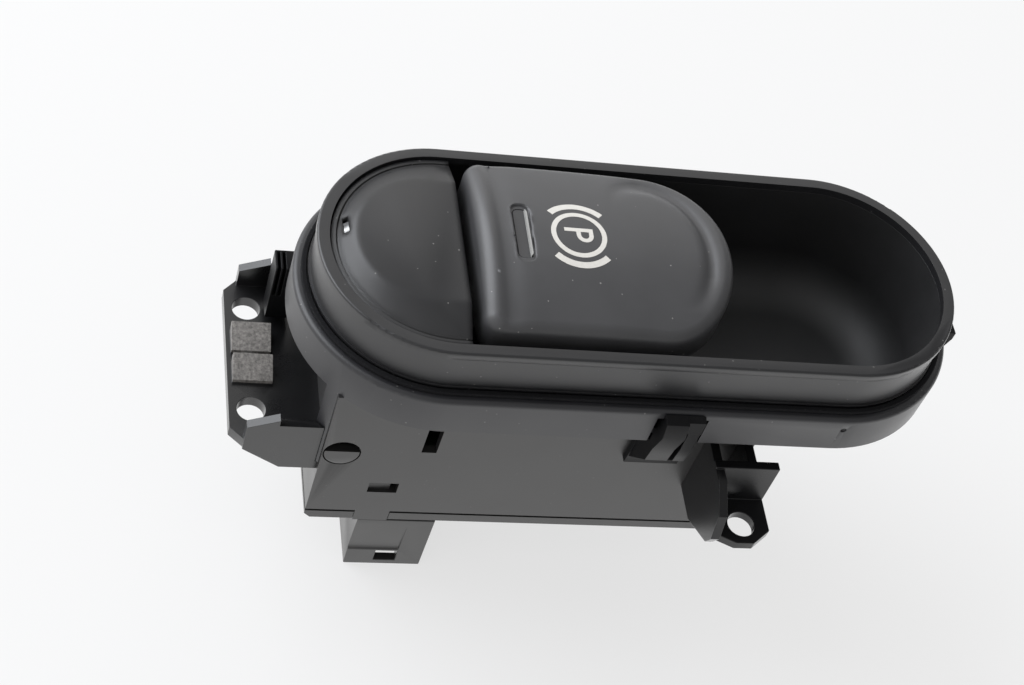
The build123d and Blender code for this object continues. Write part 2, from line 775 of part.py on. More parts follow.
def light_guide():
    """A clear bar that carries the light up to the paddle."""
    half_x = GUIDE_BAR_X / 2
    half_y = GUIDE_BAR_Y / 2
    low = BOARD_TOP + LED_HEIGHT + 2 * SEAT_GAP
    bar = block(LED_X - half_x, LED_X + half_x, -half_y, half_y, low, GUIDE_BAR_TOP)
    return chamfer(bar.faces().sort_by(Axis.Z)[-1].edges().sort_by(Axis.X)[-1], GUIDE_BAR_X / 3)


def switch_base():
    """The mechanism's base: pivot lugs, tappet guides, stop pedestals and slider rails."""
    foot = BASE_TOP - BASE_THICK
    base = block(BASE_LEFT, BASE_RIGHT, -BASE_HALF, BASE_HALF, foot, BASE_TOP)
    base -= block(
        PIVOT_X - BASE_WINDOW, PIVOT_X + BASE_WINDOW, -BLADE_HALF - 1.5, BLADE_HALF + 1.5, foot - 1, BASE_TOP + 1
    )
    lug_in = CHEEK_IN + CHEEK_THICK + LUG_GAP
    lug_out = lug_in + LUG_THICK
    lug_shape = Plane.XZ * (
        make_face(
            Polyline(
                (PIVOT_X - LUG_FOOT_HALF, BASE_TOP),
                (PIVOT_X + LUG_FOOT_HALF, BASE_TOP),
                (PIVOT_X + LUG_R, PIVOT_Z),
                (PIVOT_X - LUG_R, PIVOT_Z),
                close=True,
            )
        )
        + Pos(PIVOT_X, PIVOT_Z) * Circle(LUG_R)
    )
    lug = Pos(0, -lug_in, 0) * extrude(lug_shape, LUG_THICK)
    base += lug + mirrored(lug)
    base -= cross_rod(PIVOT_X, PIVOT_Z, lug_out + 1, PIN_R + PIN_GAP)
    for side in (-1, 1):
        x = PIVOT_X + side * TAPPET_OFFSET
        base += rod(x, 0, GUIDE_FOOT, BASE_TOP, GUIDE_R)
        base -= rod(x, 0, GUIDE_FOOT - 1, BASE_TOP + 1, TAPPET_R + RUN_GAP)
        for across in (-1, 1):
            y = across * (CHEEK_IN + CHEEK_THICK / 2)
            base += rod(PIVOT_X + side * (ARM_REACH - 1), y, BASE_TOP, pad_top(side) - PAD_THICK, PEDESTAL_R)
    rail_in = SLIDER_HALF_Y + SLIDE_GAP
    rail_x = SLIDER_HALF_X + 5
    rail = block(
        PIVOT_X - rail_x,
        PIVOT_X + rail_x,
        rail_in,
        rail_in + RAIL_THICK,
        SLIDER_FOOT - SLIDE_GAP - RAIL_SHELF,
        foot,
    )
    rail += block(
        PIVOT_X - rail_x,
        PIVOT_X + rail_x,
        rail_in - RAIL_SHELF,
        rail_in,
        SLIDER_FOOT - SLIDE_GAP - RAIL_SHELF,
        SLIDER_FOOT - SLIDE_GAP,
    )
    base += rail + mirrored(rail)
    for x, y in BASE_SCREWS:
        base -= rod(x, y, foot - 1, BASE_TOP + 1, SCREW_R + SCREW_GAP)
    half_x = GUIDE_BAR_X / 2 + SLIDE_GAP
    half_y = GUIDE_BAR_Y / 2 + SLIDE_GAP
    return base - block(LED_X - half_x, LED_X + half_x, -half_y, half_y, foot - 1, BASE_TOP + 1)


def pad_top(side):
    """Height of a stop pad: where the cheek's end is at the limit of travel on that side."""
    travel = radians(PULL_TRAVEL if side < 0 else PUSH_TRAVEL)
    below = CHEEK_LOW - PIVOT_Z
    return PIVOT_Z + below * cos(travel) - ARM_REACH * sin(travel) - SEAT_GAP


def stop_pads():
    """Four rubber pads that the cheeks land on."""
    pads = []
    for side in (-1, 1):
        for across in (-1, 1):
            x = PIVOT_X + side * (ARM_REACH - 1)
            y = across * (CHEEK_IN + CHEEK_THICK / 2)
            pads.append(rod(x, y, pad_top(side) - PAD_THICK, pad_top(side), PAD_R))
    return pads


def pivot_pin():
    """The steel pin that the paddle turns on."""
    half = CHEEK_IN + CHEEK_THICK + LUG_GAP + LUG_THICK
    pin = cross_rod(PIVOT_X, PIVOT_Z, half, PIN_R)
    ends = [face for face in pin.faces().sort_by(Axis.Y)]
    return chamfer(ends[0].edges() + ends[-1].edges(), PIN_R / 6)


def paddle_lever():
    """The rocker inside the paddle: hub, cheeks, saddle, two noses and the long finger."""
    outer = CHEEK_IN + CHEEK_THICK
    hub = cross_rod(PIVOT_X, PIVOT_Z, outer, HUB_R)
    cheek = block(
        PIVOT_X - ARM_REACH, PIVOT_X + ARM_REACH, CHEEK_IN, outer, CHEEK_LOW, CHEEK_HIGH
    )
    cheek = fillet(cheek.edges().filter_by(Axis.Y), CHEEK_THICK / 2)
    lever = hub + cheek + mirrored(cheek)
    for side in (-1, 1):
        x = PIVOT_X + side * TAPPET_OFFSET
        nose_z = CHEEK_LOW + NOSE_R
        lever += cross_rod(x, nose_z, outer - CHEEK_THICK / 2, NOSE_R)
        lever += block(x - NOSE_R / 2, x + NOSE_R / 2, -CHEEK_IN, CHEEK_IN, nose_z, PIVOT_Z)
    lever += block(
        SADDLE_LEFT, SADDLE_RIGHT, -SADDLE_HALF, SADDLE_HALF, SADDLE_LOW, SADDLE_LOW + SADDLE_THICK
    )
    for across in (-1, 1):
        y = across * (CHEEK_IN + CHEEK_THICK / 2)
        lever += block(
            PIVOT_X - HUB_R, SADDLE_RIGHT, y - CHEEK_THICK / 2, y + CHEEK_THICK / 2, PIVOT_Z, SADDLE_LOW
        )
    half = BLADE_THICK / 2
    lever += block(PIVOT_X - half, PIVOT_X + half, -BLADE_HALF, BLADE_HALF, FINGER_Z, PIVOT_Z)
    lever += cross_rod(PIVOT_X, FINGER_Z, BLADE_HALF, FINGER_R)
    lever -= cross_rod(PIVOT_X, PIVOT_Z, RING_WIDTH, PIN_R + RUN_GAP)
    for x, y in paddle_screw_places():
        lever -= rod(x, y, SADDLE_LOW - 1, SADDLE_LOW + 2 * SADDLE_THICK, SCREW_R + SCREW_GAP)
    return lever


def paddle_screw_places():
    """Where the lever is screwed to the paddle."""
    return [
        (x, y)
        for x in (PADDLE_SCREW_X, PADDLE_SCREW_X + PADDLE_SCREW_PITCH)
        for y in (-PADDLE_SCREW_Y, PADDLE_SCREW_Y)
    ]


def paddle_outline(inset):
    """Straight sides with round left corners, and a half ellipse at the free end."""
    left = PADDLE_LEFT + inset
    half = PADDLE_HALF - inset
    length = PADDLE_ROUND_X - left
    sides = Pos(left + length / 2, 0) * Rectangle(length, 2 * half)
    sides = fillet(sides.vertices().group_by(Axis.X)[0], CORNER_R - inset)
    end = Pos(PADDLE_ROUND_X, 0) * Ellipse(PADDLE_ROUND - inset, half)
    return sides + end


def crown_form(inset):
    """All that lies under the paddle's top, which is arched across and, very slightly, along."""
    half = RING_WIDTH / 2
    radius = CROWN_R - inset
    top = PADDLE_TOP - inset
    side = top - radius + sqrt(radius**2 - half**2)
    arc = ThreePointArc((-half, side), (0, top), (half, side))
    under = Polyline((half, side), (half, side - half), (-half, side - half), (-half, side))
    profile = Pos(CROWN_X, 0, 0) * (Plane.YZ * make_face(arc + under))
    axis = Axis((CROWN_X, 0, PADDLE_TOP - CROWN_LONG_R), (0, 1, 0))
    turn = degrees(RING_WIDTH / CROWN_LONG_R)
    return revolve(profile, axis, turn) + revolve(profile, axis, -turn)


def paddle_blank(inset, foot):
    """The paddle as a solid, moved inwards by inset all round."""
    body = Pos(0, 0, foot) * extrude(paddle_outline(inset), PADDLE_TOP)
    body &= crown_form(inset)
    return fillet(body.faces().sort_by(Axis.Z)[-1].edges(), SHOULDER_R - inset)


def tip_hollow():
    """The shallow hollow at the free end, deepest beside its curved lip."""
    lip = HOLLOW_DEPTH
    sections = [
        Pos(PADDLE_ROUND_X, 0, PADDLE_TOP + rise) * Ellipse(HOLLOW_LENGTH + rise, HOLLOW_HALF + rise)
        for rise in (-2 * lip, 2 * lip)
    ]
    tilt = degrees(HOLLOW_DEPTH / (PADDLE_ROUND_X + HOLLOW_LENGTH - HOLLOW_LEFT))
    hinge = (HOLLOW_LEFT, 0, PADDLE_TOP)
    floor = Pos(*hinge) * Rot(0, tilt, 0) * Pos(-hinge[0], 0, -hinge[2]) * crown_form(0)
    return loft(sections, ruled=True) - floor


def slot_recess(length, width, depth):
    """A slot with well-rounded corners, cut down from the paddle's top."""
    half = width / 2
    far = length / 2
    slot = block(SLOT_X - half, SLOT_X + half, -far, far, PADDLE_TOP - depth, PADDLE_TOP + 1)
    return fillet(slot.edges().filter_by(Axis.Z), half - SLOT_FLAT)


def paddle_shell():
    """The soft-touch paddle: a crowned cover with a closed tray under its free end."""
    shell = paddle_blank(0, PADDLE_FOOT)
    cavity = paddle_blank(PADDLE_WALL, PADDLE_FOOT + PADDLE_WALL)
    shell -= cavity
    shell -= block(
        PADDLE_LEFT + PADDLE_WALL,
        PADDLE_TRAY_X,
        PADDLE_WALL - PADDLE_HALF,
        PADDLE_HALF - PADDLE_WALL,
        PADDLE_FOOT - 1,
        PADDLE_FOOT + 2 * PADDLE_WALL,
    )
    inside = paddle_blank(PADDLE_WALL / 2, PADDLE_FOOT)
    for x, y in paddle_screw_places():
        post = rod(x, y, SADDLE_LOW + SADDLE_THICK, PADDLE_TOP, PADDLE_POST_R) & inside
        shell += post - rod(x, y, SADDLE_LOW, SADDLE_LOW + SADDLE_THICK + 3, SCREW_R + SCREW_GAP)
    shell -= tip_hollow()
    shell -= slot_recess(SLOT_LENGTH, SLOT_WIDTH, SLOT_DEPTH)
    return shell - slot_recess(
        INDICATOR_LENGTH + 2 * SEAT_GAP, INDICATOR_WIDTH + 2 * SEAT_GAP, 2 * PADDLE_WALL
    )


def indicator_lens():
    """The smoked indicator window in the paddle's slot, with a thin raised edge on its right."""
    lens = slot_recess(INDICATOR_LENGTH, INDICATOR_WIDTH, PADDLE_WALL + SLOT_DEPTH)
    top = PADDLE_TOP - SLOT_DEPTH - SEAT_GAP
    right = SLOT_X + INDICATOR_WIDTH / 2
    floor = block(PADDLE_LEFT, 0, -PADDLE_HALF, PADDLE_HALF, PADDLE_FOOT, top)
    edge = block(right - INDICATOR_EDGE, right, -PADDLE_HALF, PADDLE_HALF, top - 1, top + INDICATOR_LIP)
    return lens & (floor + edge)


def light_diffuser():
    """A white box under the paddle's top that spreads the light."""
    low = SADDLE_LOW + SADDLE_THICK
    outer = block(DIFFUSER_LEFT, DIFFUSER_RIGHT, -DIFFUSER_HALF, DIFFUSER_HALF, low, low + DIFFUSER_HEIGHT)
    inner = block(
        DIFFUSER_LEFT + DIFFUSER_WALL,
        DIFFUSER_RIGHT - DIFFUSER_WALL,
        DIFFUSER_WALL - DIFFUSER_HALF,
        DIFFUSER_HALF - DIFFUSER_WALL,
        low - 1,
        low + DIFFUSER_HEIGHT - DIFFUSER_WALL,
    )
    return outer - inner


def screw(x, y, z_head, length, up):
    """A pan-head screw; up is 1 if its shank points up from the head, and -1 if it points down."""
    shank = rod(x, y, min(z_head, z_head + up * length), max(z_head, z_head + up * length), SCREW_R)
    head = rod(x, y, min(z_head, z_head - up * SCREW_HEAD), max(z_head, z_head - up * SCREW_HEAD), SCREW_HEAD_R)
    rim = head.faces().sort_by(Axis.Z)
    head = fillet((rim[0] if up > 0 else rim[-1]).edges(), SCREW_HEAD / 3)
    return shank + head


def base_screws():
    """The screws that hold the mechanism's base under the carrier's deck."""
    return [screw(x, y, BASE_TOP - BASE_THICK, SCREW_LENGTH, 1) for x, y in BASE_SCREWS]


def cover_screws():
    """The screws that hold the bottom cover."""
    head = COVER_FOOT + SCREW_HEAD / 2
    return [screw(x, y, head, SCREW_LENGTH, 1) for x, y in POSTS]


def board_screws():
    """The screws that hold the board on its posts."""
    return [screw(x, y, BOARD_TOP, SCREW_LENGTH / 2, -1) for x, y in POSTS]


def paddle_screws():
    """The screws that hold the lever in the paddle."""
    return [screw(x, y, SADDLE_LOW, SCREW_LENGTH / 2, 1) for x, y in paddle_screw_places()]


def tappet(side):
    """A sprung tappet: a flat head on a rod that runs in the base's guide."""
    x = PIVOT_X + side * TAPPET_OFFSET
    top = CHEEK_LOW - SLIDE_GAP
    head = rod(x, 0, top - TAPPET_HEAD, top, TAPPET_HEAD_R)
    stem = rod(x, 0, TAPPET_FOOT, top, TAPPET_R)
    stem = fillet(stem.faces().sort_by(Axis.Z)[0].edges(), TAPPET_R / 3)
    return stem + head


def tappet_spring(side):
    """A short compression spring between the base and the tappet's head."""
    x = PIVOT_X + side * TAPPET_OFFSET
    low = BASE_TOP + SPRING_WIRE + RUN_GAP
    high = CHEEK_LOW - SLIDE_GAP - TAPPET_HEAD - SPRING_WIRE - RUN_GAP
    path = Helix(pitch=(high - low) / SPRING_TURNS, height=high - low, radius=SPRING_R)
    section = Plane(origin=path @ 0, z_dir=path % 0) * Circle(SPRING_WIRE)
    return Pos(x, 0, low) * sweep(section, path=path)


def contact_slider():
    """The block that the lever's finger moves to and fro over the board."""
    body = block(
        PIVOT_X - SLIDER_HALF_X, PIVOT_X + SLIDER_HALF_X, -SLIDER_HALF_Y, SLIDER_HALF_Y, SLIDER_FOOT, SLIDER_TOP
    )
    body = chamfer(body.edges().filter_by(Axis.Z), 1)
    half = FINGER_R + SLIDE_GAP
    return body - block(
        PIVOT_X - half, PIVOT_X + half, -BLADE_HALF - SLIDE_GAP, BLADE_HALF + SLIDE_GAP, SLIDER_FOOT - 1, SLIDER_TOP + 1
    )


def contact_wipers():
    """Three spring contacts under the slider, bowed down to the board."""
    low = BOARD_TOP + RUN_GAP
    x = PIVOT_X + WIPER_X
    half = WIPER_SPAN / 2
    outer = ThreePointArc((x - half, SLIDER_FOOT), (x, low), (x + half, SLIDER_FOOT))
    inner = ThreePointArc(
        (x + half - WIPER_THICK, SLIDER_FOOT),
        (x, low + WIPER_THICK),
        (x - half + WIPER_THICK, SLIDER_FOOT),
    )
    ends = Line(outer @ 1, inner @ 0) + Line(inner @ 1, outer @ 0)
    strip = Plane.XZ * make_face(outer + inner + ends)
    wiper = Pos(0, WIPER_WIDTH / 2, 0) * extrude(strip, WIPER_WIDTH)
    return [Pos(0, across * WIPER_PITCH, 0) * wiper for across in (-1, 0, 1)]


def end_bracket():
    """The bracket at the closed end: two ears, side walls and a pair of wedges between."""
    corner = END_CORNER
    plate = flat_plate(
        (
            (END_LEFT, corner - END_HALF),
            (END_LEFT + corner, -END_HALF),
            (BOX_LEFT, -END_HALF),
            (BOX_LEFT, END_HALF),
            (END_LEFT + corner, END_HALF),
            (END_LEFT, END_HALF - corner),
        ),
        EAR_TOP - EAR_THICK,
        EAR_TOP,
    )
    for side in (-1, 1):
        plate -= rod(END_EAR_X, side * END_EAR_Y, EAR_TOP - 2 * EAR_THICK, EAR_TOP + 1, EAR_HOLE_R)
    wall = side_plate(
        (
            (END_WALL_OUT, END_WALL_OUT_TOP),
            (END_PLATE_RIGHT, END_WALL_PEAK),
            (END_PLATE_RIGHT, END_WALL_TOP),
            (BOX_LEFT, END_WALL_TOP),
            (BOX_LEFT, END_WALL_LOW),
            (END_SLOPE_X, END_WALL_LOW),
            (END_WALL_OUT, EAR_TOP - EAR_THICK),
        ),
        -END_HALF,
        END_WALL - END_HALF,
    )
    wedge_back = end_plate(
        (
            (WEDGE_BACK, EAR_TOP),
            (WEDGE_BACK, EAR_TOP + WEDGE_TOP),
            (WEDGE_SLIT_BACK, EAR_TOP + WEDGE_LOW),
            (WEDGE_SLIT_BACK, EAR_TOP),
        ),
        WEDGE_LEFT,
        END_PLATE_RIGHT,
    )
    wedge_front = end_plate(
        (
            (-WEDGE_SLIT_FRONT, EAR_TOP),
            (-WEDGE_SLIT_FRONT, EAR_TOP + WEDGE_TOP),
            (-WEDGE_FRONT, EAR_TOP + WEDGE_LOW),
            (-WEDGE_FRONT, EAR_TOP),
        ),
        WEDGE_LEFT,
        END_PLATE_RIGHT,
    )
    slit = block(
        END_LEFT + corner,
        END_PLATE_RIGHT - corner,
        -WEDGE_SLIT_FRONT,
        WEDGE_SLIT_BACK,
        EAR_TOP - 2 * EAR_THICK,
        EAR_TOP + 1,
    )
    bracket = plate + wall + mirrored(wall) + wedge_back + wedge_front
    return bracket - slit - strip_room()


def side_bracket():
    """The front bracket near the pocket: a shaped web, a back wall and one ear."""
    web = end_plate(
        (
            (-BOX_HALF, SIDE_TOP),
            (-SIDE_BACK_Y - SIDE_SHOULDER, SIDE_TOP),
            (SIDE_CHEEK - SIDE_OUT, SIDE_TOP - SIDE_CHEEK_DROP),
            (-SIDE_OUT, SIDE_TOP - SIDE_NOSE_DROP),
            (SIDE_CHEEK - SIDE_OUT, SIDE_TOP - SIDE_CHIN_DROP),
            (-SIDE_BACK_Y, SIDE_LOW),
            (-BOX_HALF, SIDE_LOW),
        ),
        SIDE_WEB_X,
        SIDE_WEB_X + SIDE_WEB,
    )
    plate = flat_plate(
        (
            (SIDE_WEB_X + SIDE_WEB, -SIDE_BACK_Y + SIDE_WEB),
            (SIDE_WEB_X + SIDE_WEB, -SIDE_OUT + SIDE_CORNER / 2),
            (SIDE_WEB_X + SIDE_WEB + SIDE_CORNER, -SIDE_OUT),
            (SIDE_RIGHT - SIDE_CORNER, -SIDE_OUT),
            (SIDE_RIGHT, SIDE_SHOULDER - SIDE_OUT),
            (SIDE_RIGHT, -SIDE_BACK_Y + SIDE_WEB),
        ),
        EAR_TOP - SIDE_PLATE,
        EAR_TOP,
    )
    back = block(
        SIDE_WEB_X, SIDE_RIGHT, -SIDE_BACK_Y, SIDE_WEB - SIDE_BACK_Y, EAR_TOP - SIDE_PLATE, SIDE_BACK_TOP
    )
    rib = block(
        BOX_RIGHT - 2 * SIDE_WEB,
        BOX_RIGHT - SIDE_WEB,
        SIDE_WEB - SIDE_BACK_Y,
        -BOX_HALF,
        EAR_TOP - SIDE_PLATE,
        SIDE_BACK_TOP,
    )
    bracket = web + plate + back + rib - bowl_room()
    return bracket - rod(SIDE_EAR_X, -SIDE_EAR_Y, EAR_TOP - 2 * SIDE_PLATE, EAR_TOP + 1, EAR_HOLE_R)


def front_clip():
    """A snap tongue with a rib beside it, which rises from the box and stands proud of the skirt."""
    skin = -SKIRT_R
    head = skin - 2 * SEAT_GAP
    stem = [
        (-BOX_HALF, CLIP_FOOT),
        (-BOX_HALF - CLIP_THICK, CLIP_FOOT),
        (skin - CLIP_THICK / 2, CLIP_BASE_TOP),
        (skin - CLIP_THICK, CLIP_WAIST),
    ]
    root = [
        (skin + CLIP_NOTCH, SKIRT_FOOT - CLIP_THICK),
        (-BOX_HALF, CLIP_BASE_TOP),
    ]
    low = CLIP_TOP - CLIP_HEAD
    flange_foot = FLANGE_TOP - FLANGE_THICK - 2 * SEAT_GAP
    nose = [
        (skin - CLIP_OUT, low),
        (skin - CLIP_OUT + CLIP_THICK / 2, CLIP_TOP - CLIP_THICK / 2),
        (head, CLIP_TOP),
        (head, flange_foot),
        (skin + CLIP_NOTCH, flange_foot),
    ]
    tongue = end_plate(stem + nose + root, CLIP_LEFT, CLIP_TONGUE_RIGHT)
    crest = [
        (skin - CLIP_THICK, low),
        (head, low + CLIP_THICK),
        (skin + CLIP_NOTCH, low + CLIP_THICK),
    ]
    rib = end_plate(stem + crest + root, CLIP_RIB_LEFT, CLIP_RIGHT)
    bridge = end_plate(
        (
            (skin - CLIP_OUT + CLIP_THICK, low),
            (skin - CLIP_OUT + CLIP_THICK, CLIP_TOP - CLIP_THICK / 2),
            (head, CLIP_TOP),
            (head, low),
        ),
        CLIP_TONGUE_RIGHT,
        CLIP_RIGHT,
    )
    base = side_plate(
        (
            (CLIP_LEFT, CLIP_BASE_TOP),
            (CLIP_RIGHT, CLIP_BASE_TOP),
            (CLIP_BASE_RIGHT, CLIP_BASE_KNEE),
            (CLIP_BASE_RIGHT, CLIP_BASE_FOOT),
            (CLIP_BASE_LEFT, CLIP_BASE_FOOT),
        ),
        -BOX_HALF - CLIP_THICK,
        -BOX_HALF,
    )
    return tongue + rib + bridge + base - bowl_room()


def right_clip():
    """A wedge clip on the skirt's round end, past the pocket."""
    skin = END_CENTRE + SKIRT_R
    wedge = side_plate(
        (
            (skin - FLANGE_REACH, FLANGE_TOP - FLANGE_THICK),
            (skin + END_CLIP_OUT, FLANGE_TOP - FLANGE_THICK),
            (skin + END_CLIP_OUT, FLANGE_TOP - 2 * FLANGE_THICK),
            (skin, END_CLIP_FOOT),
            (skin - FLANGE_REACH, END_CLIP_FOOT),
        ),
        -END_CLIP_WIDTH / 2,
        END_CLIP_WIDTH / 2,
    )
    return wedge - stadium(-FLANGE_REACH - RUN_GAP, END_CLIP_FOOT - 1, 0)


def left_clip():
    """A lug that hangs beside the skirt's round end into the end bracket, grooved on its left."""
    half = LUG_CLIP_WIDTH / 2
    low = LUG_CLIP_Y - half
    high = LUG_CLIP_Y + half
    right = LUG_CLIP_X + LUG_CLIP_DEPTH
    lug = block(LUG_CLIP_X, right, low, high, LUG_CLIP_FOOT, SKIRT_FOOT - SEAT_GAP)
    for place in (1, 3):
        left = LUG_CLIP_X + place * LUG_GROOVE
        lug -= block(left, left + LUG_GROOVE, low - 1, high - LUG_GROOVE, LUG_GROOVE_FOOT, SKIRT_FOOT)
    return lug


front_bracket = side_bracket()
forward_clip = front_clip()

save(bezel_ring(), "bezel_ring")
save(carrier_frame(), "carrier_frame")
save(seal_strip(), "seal_strip")
save(blank_cap(), "blank_cap")
save(locator_lens(), "locator_lens")
save(finger_bowl(), "finger_bowl")
save(housing_shell(), "housing_shell")
save(bottom_cover(), "bottom_cover")
save(connector_shroud(), "connector_shroud")
save(pin_header(), "pin_header")
save_group(connector_pins(), "connector_pins")
save(circuit_board(), "circuit_board")
save_group(board_components(), "board_components")
save(signal_led(), "signal_led")
save(light_guide(), "light_guide")
save(switch_base(), "switch_base")
save(pivot_pin(), "pivot_pin")
save_group(stop_pads(), "stop_pads")
save(end_bracket(), "end_bracket")
save(front_bracket, "front_bracket")
save(mirrored(front_bracket), "rear_bracket")
save(forward_clip, "front_clip")
save(mirrored(forward_clip), "rear_clip")
save(left_clip(), "left_clip")
save(right_clip(), "right_clip")
save_group(base_screws(), "base_screws")
save_group(cover_screws(), "cover_screws")
save_group(board_screws(), "board_screws")
save(paddle_shell(), "paddle_shell")
save(paddle_lever(), "paddle_lever")
save(light_diffuser(), "light_diffuser")
save(indicator_lens(), "indicator_lens")
save_group(paddle_screws(), "paddle_screws")
save(contact_slider(), "contact_slider")
save_group(contact_wipers(), "contact_wipers")
save(tappet(-1), "left_tappet")
save(tappet(1), "right_tappet")
save(tappet_spring(-1), "left_spring")
save(tappet_spring(1), "right_spring")
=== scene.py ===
"""Parking brake switch for a centre console: the packed model, dressed for the studio.

The file is laid out as an add-on and is run as a script. Lengths are in metres, in the frame of
the packed model: +X from the fixed cap to the finger pocket, +Y away from the connector's side,
+Z out of the console, with the origin on the seal's top face.
"""

import json

import bmesh
import bpy
import numpy as np
from bpy.props import FloatProperty, FloatVectorProperty, PointerProperty
from mathutils import Matrix, Vector


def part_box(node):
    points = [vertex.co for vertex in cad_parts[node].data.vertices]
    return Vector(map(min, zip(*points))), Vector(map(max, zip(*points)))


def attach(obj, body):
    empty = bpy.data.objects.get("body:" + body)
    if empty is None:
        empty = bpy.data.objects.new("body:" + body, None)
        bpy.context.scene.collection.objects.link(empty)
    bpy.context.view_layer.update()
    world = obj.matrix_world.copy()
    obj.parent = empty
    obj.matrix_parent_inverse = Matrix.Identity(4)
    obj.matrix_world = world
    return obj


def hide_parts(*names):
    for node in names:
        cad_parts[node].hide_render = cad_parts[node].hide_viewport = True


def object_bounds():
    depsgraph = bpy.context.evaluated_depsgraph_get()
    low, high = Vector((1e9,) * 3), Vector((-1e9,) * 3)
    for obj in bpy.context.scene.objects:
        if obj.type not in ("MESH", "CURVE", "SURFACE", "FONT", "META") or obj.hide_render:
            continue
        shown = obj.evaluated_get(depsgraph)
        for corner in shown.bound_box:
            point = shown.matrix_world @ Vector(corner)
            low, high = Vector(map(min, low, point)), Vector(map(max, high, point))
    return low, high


bl_info = {
    "name": "Parking Brake Switch",
    "version": (1, 0, 0),
    "blender": (4, 5, 0),
    "location": "3D View > Sidebar > Switch",
    "description": "Dresses the console switch: plastics, printed symbol, foam, metal and studio",
    "category": "Object",
}

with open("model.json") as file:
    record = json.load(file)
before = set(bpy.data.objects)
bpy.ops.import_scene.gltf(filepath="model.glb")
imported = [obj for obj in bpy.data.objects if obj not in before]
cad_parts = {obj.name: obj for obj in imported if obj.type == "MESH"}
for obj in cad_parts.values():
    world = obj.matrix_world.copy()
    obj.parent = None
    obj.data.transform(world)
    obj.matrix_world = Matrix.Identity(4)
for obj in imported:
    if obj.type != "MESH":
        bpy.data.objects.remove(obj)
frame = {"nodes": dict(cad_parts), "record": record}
CAD_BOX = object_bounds()
MM = 0.001
PADDLE_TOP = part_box("paddle_shell")[1].z
FLOOR_Z = CAD_BOX[0][2]

# Edges: doubles closer than WELD are merged, faces within FLAT radians are joined, and creases past
# SHARP radians stay sharp and are rounded off.
WELD = 0.002 * MM
FLAT = 0.002
SHARP = 0.6

# The paddle's outer top lies above TOP_LOW, and its faces point up by more than TOP_RISE.
TOP_LOW = 8 * MM
TOP_RISE = 0.3

# The valley beside the paddle's rolled left end
ROLL_X = -26.4 * MM
ROLL_DEPTH = 0.45 * MM
ROLL_WIDTHS = (1.1 * MM, 2.2 * MM)
ROLL_END = -22 * MM

# The finger hollow's ellipse, and the groove inside its lip, which fades out to the left and the front
HOLLOW_Y = -0.5 * MM
HOLLOW_HALF_X = 9 * MM
HOLLOW_HALF_Y = 14 * MM
HOLLOW_LEFT = -8 * MM
HOLLOW_EDGE = 1.15
GROOVE_REACH = 1.06
GROOVE_DEPTH = 0.75 * MM
GROOVE_WIDTHS = (0.13, 0.14)
GROOVE_BAND = (0.6, 1.6)
FADE_X = -7 * MM
FADE_Y = -13 * MM
FADE = 7 * MM

# The top's mesh: the longest edges it may keep, and how far its points are brought to the crown
SPLIT_ROUNDS = 8
FINE_EDGE = 0.5 * MM
PLAIN_EDGE = 2.5 * MM
HOLLOW_SNAP = 0.7 * MM
CROWN_SNAP = 0.03 * MM

# Places of marks in the finishes
WEDGE_RIGHT = -58.5 * MM
WEDGE_Y = (-5.7 * MM, 6.0 * MM)
WEDGE_Z = (-23.3 * MM, -20.0 * MM)
# Below: where the painted highlight on the indicator lens begins, then the place and width of the
# painted glint on the cap's small lens
LENS_HIGHLIGHT_X = -22.25 * MM
GLINT_Y = 1.7 * MM
GLINT_WIDTH = 0.45 * MM

# Grain and heights in the finishes
FINE_GRAIN = 0.1 * MM
GRAIN_DEPTH = 0.006 * MM
LINT_HEIGHT = 0.02 * MM
COARSE_DEPTH = 0.05 * MM

# Colours inside the finishes
DUST = (0.3, 0.29, 0.28)
COARSE_DARK = (0.1, 0.095, 0.09)
COARSE_PALE = (0.28, 0.265, 0.25)
FOAM_DARK = (0.006, 0.006, 0.007)
FOAM_PALE = (0.16, 0.16, 0.155)
# Smoke of the indicator lens, and the pale of its painted highlight
SMOKE = (0.035, 0.035, 0.037)
PAINTED_LENS_HIGHLIGHT = (0.3, 0.3, 0.29)
# Smoke of the cap's small lens, and the pale of its painted glint
GLINT_DARK = (0.02, 0.02, 0.022)
GLINT_PALE = (0.55, 0.55, 0.55)
MASK = (0.005, 0.012, 0.009)
TRACK = (0.012, 0.03, 0.02)

# Colours of the lamps
COOL = (0.92, 0.95, 1.0)
WARM = (1.0, 0.98, 0.95)


def length(name, description, default):
    """A size in metres that a user would change."""
    return FloatProperty(
        name=name, description=description, default=default, unit="LENGTH", precision=5
    )


def power(name, description, default):
    """A lamp's power in watts that a user would change."""
    return FloatProperty(name=name, description=description, default=default, unit="POWER")


def place(name, description, default):
    """A point in the model's frame that a user would change."""
    return FloatVectorProperty(name=name, description=description, default=default, subtype="XYZ")


def level(name, description, default):
    """A bare number that a user would change."""
    return FloatProperty(name=name, description=description, default=default)


def paint(name, description, default):
    """A colour that a user would change."""
    return FloatVectorProperty(
        name=name, description=description, default=default, subtype="COLOR", min=0.0, max=1.0
    )


class SwitchCrown(bpy.types.PropertyGroup):
    """The paddle's arched top, which the print follows."""

    middle_x: length("Middle", "Where the long arch is highest, along X", -20.0 * MM)
    across_radius: length("Radius across", "Radius of the arch across the paddle", 47.0 * MM)
    along_radius: length("Radius along", "Radius of the arch along the paddle", 430.0 * MM)


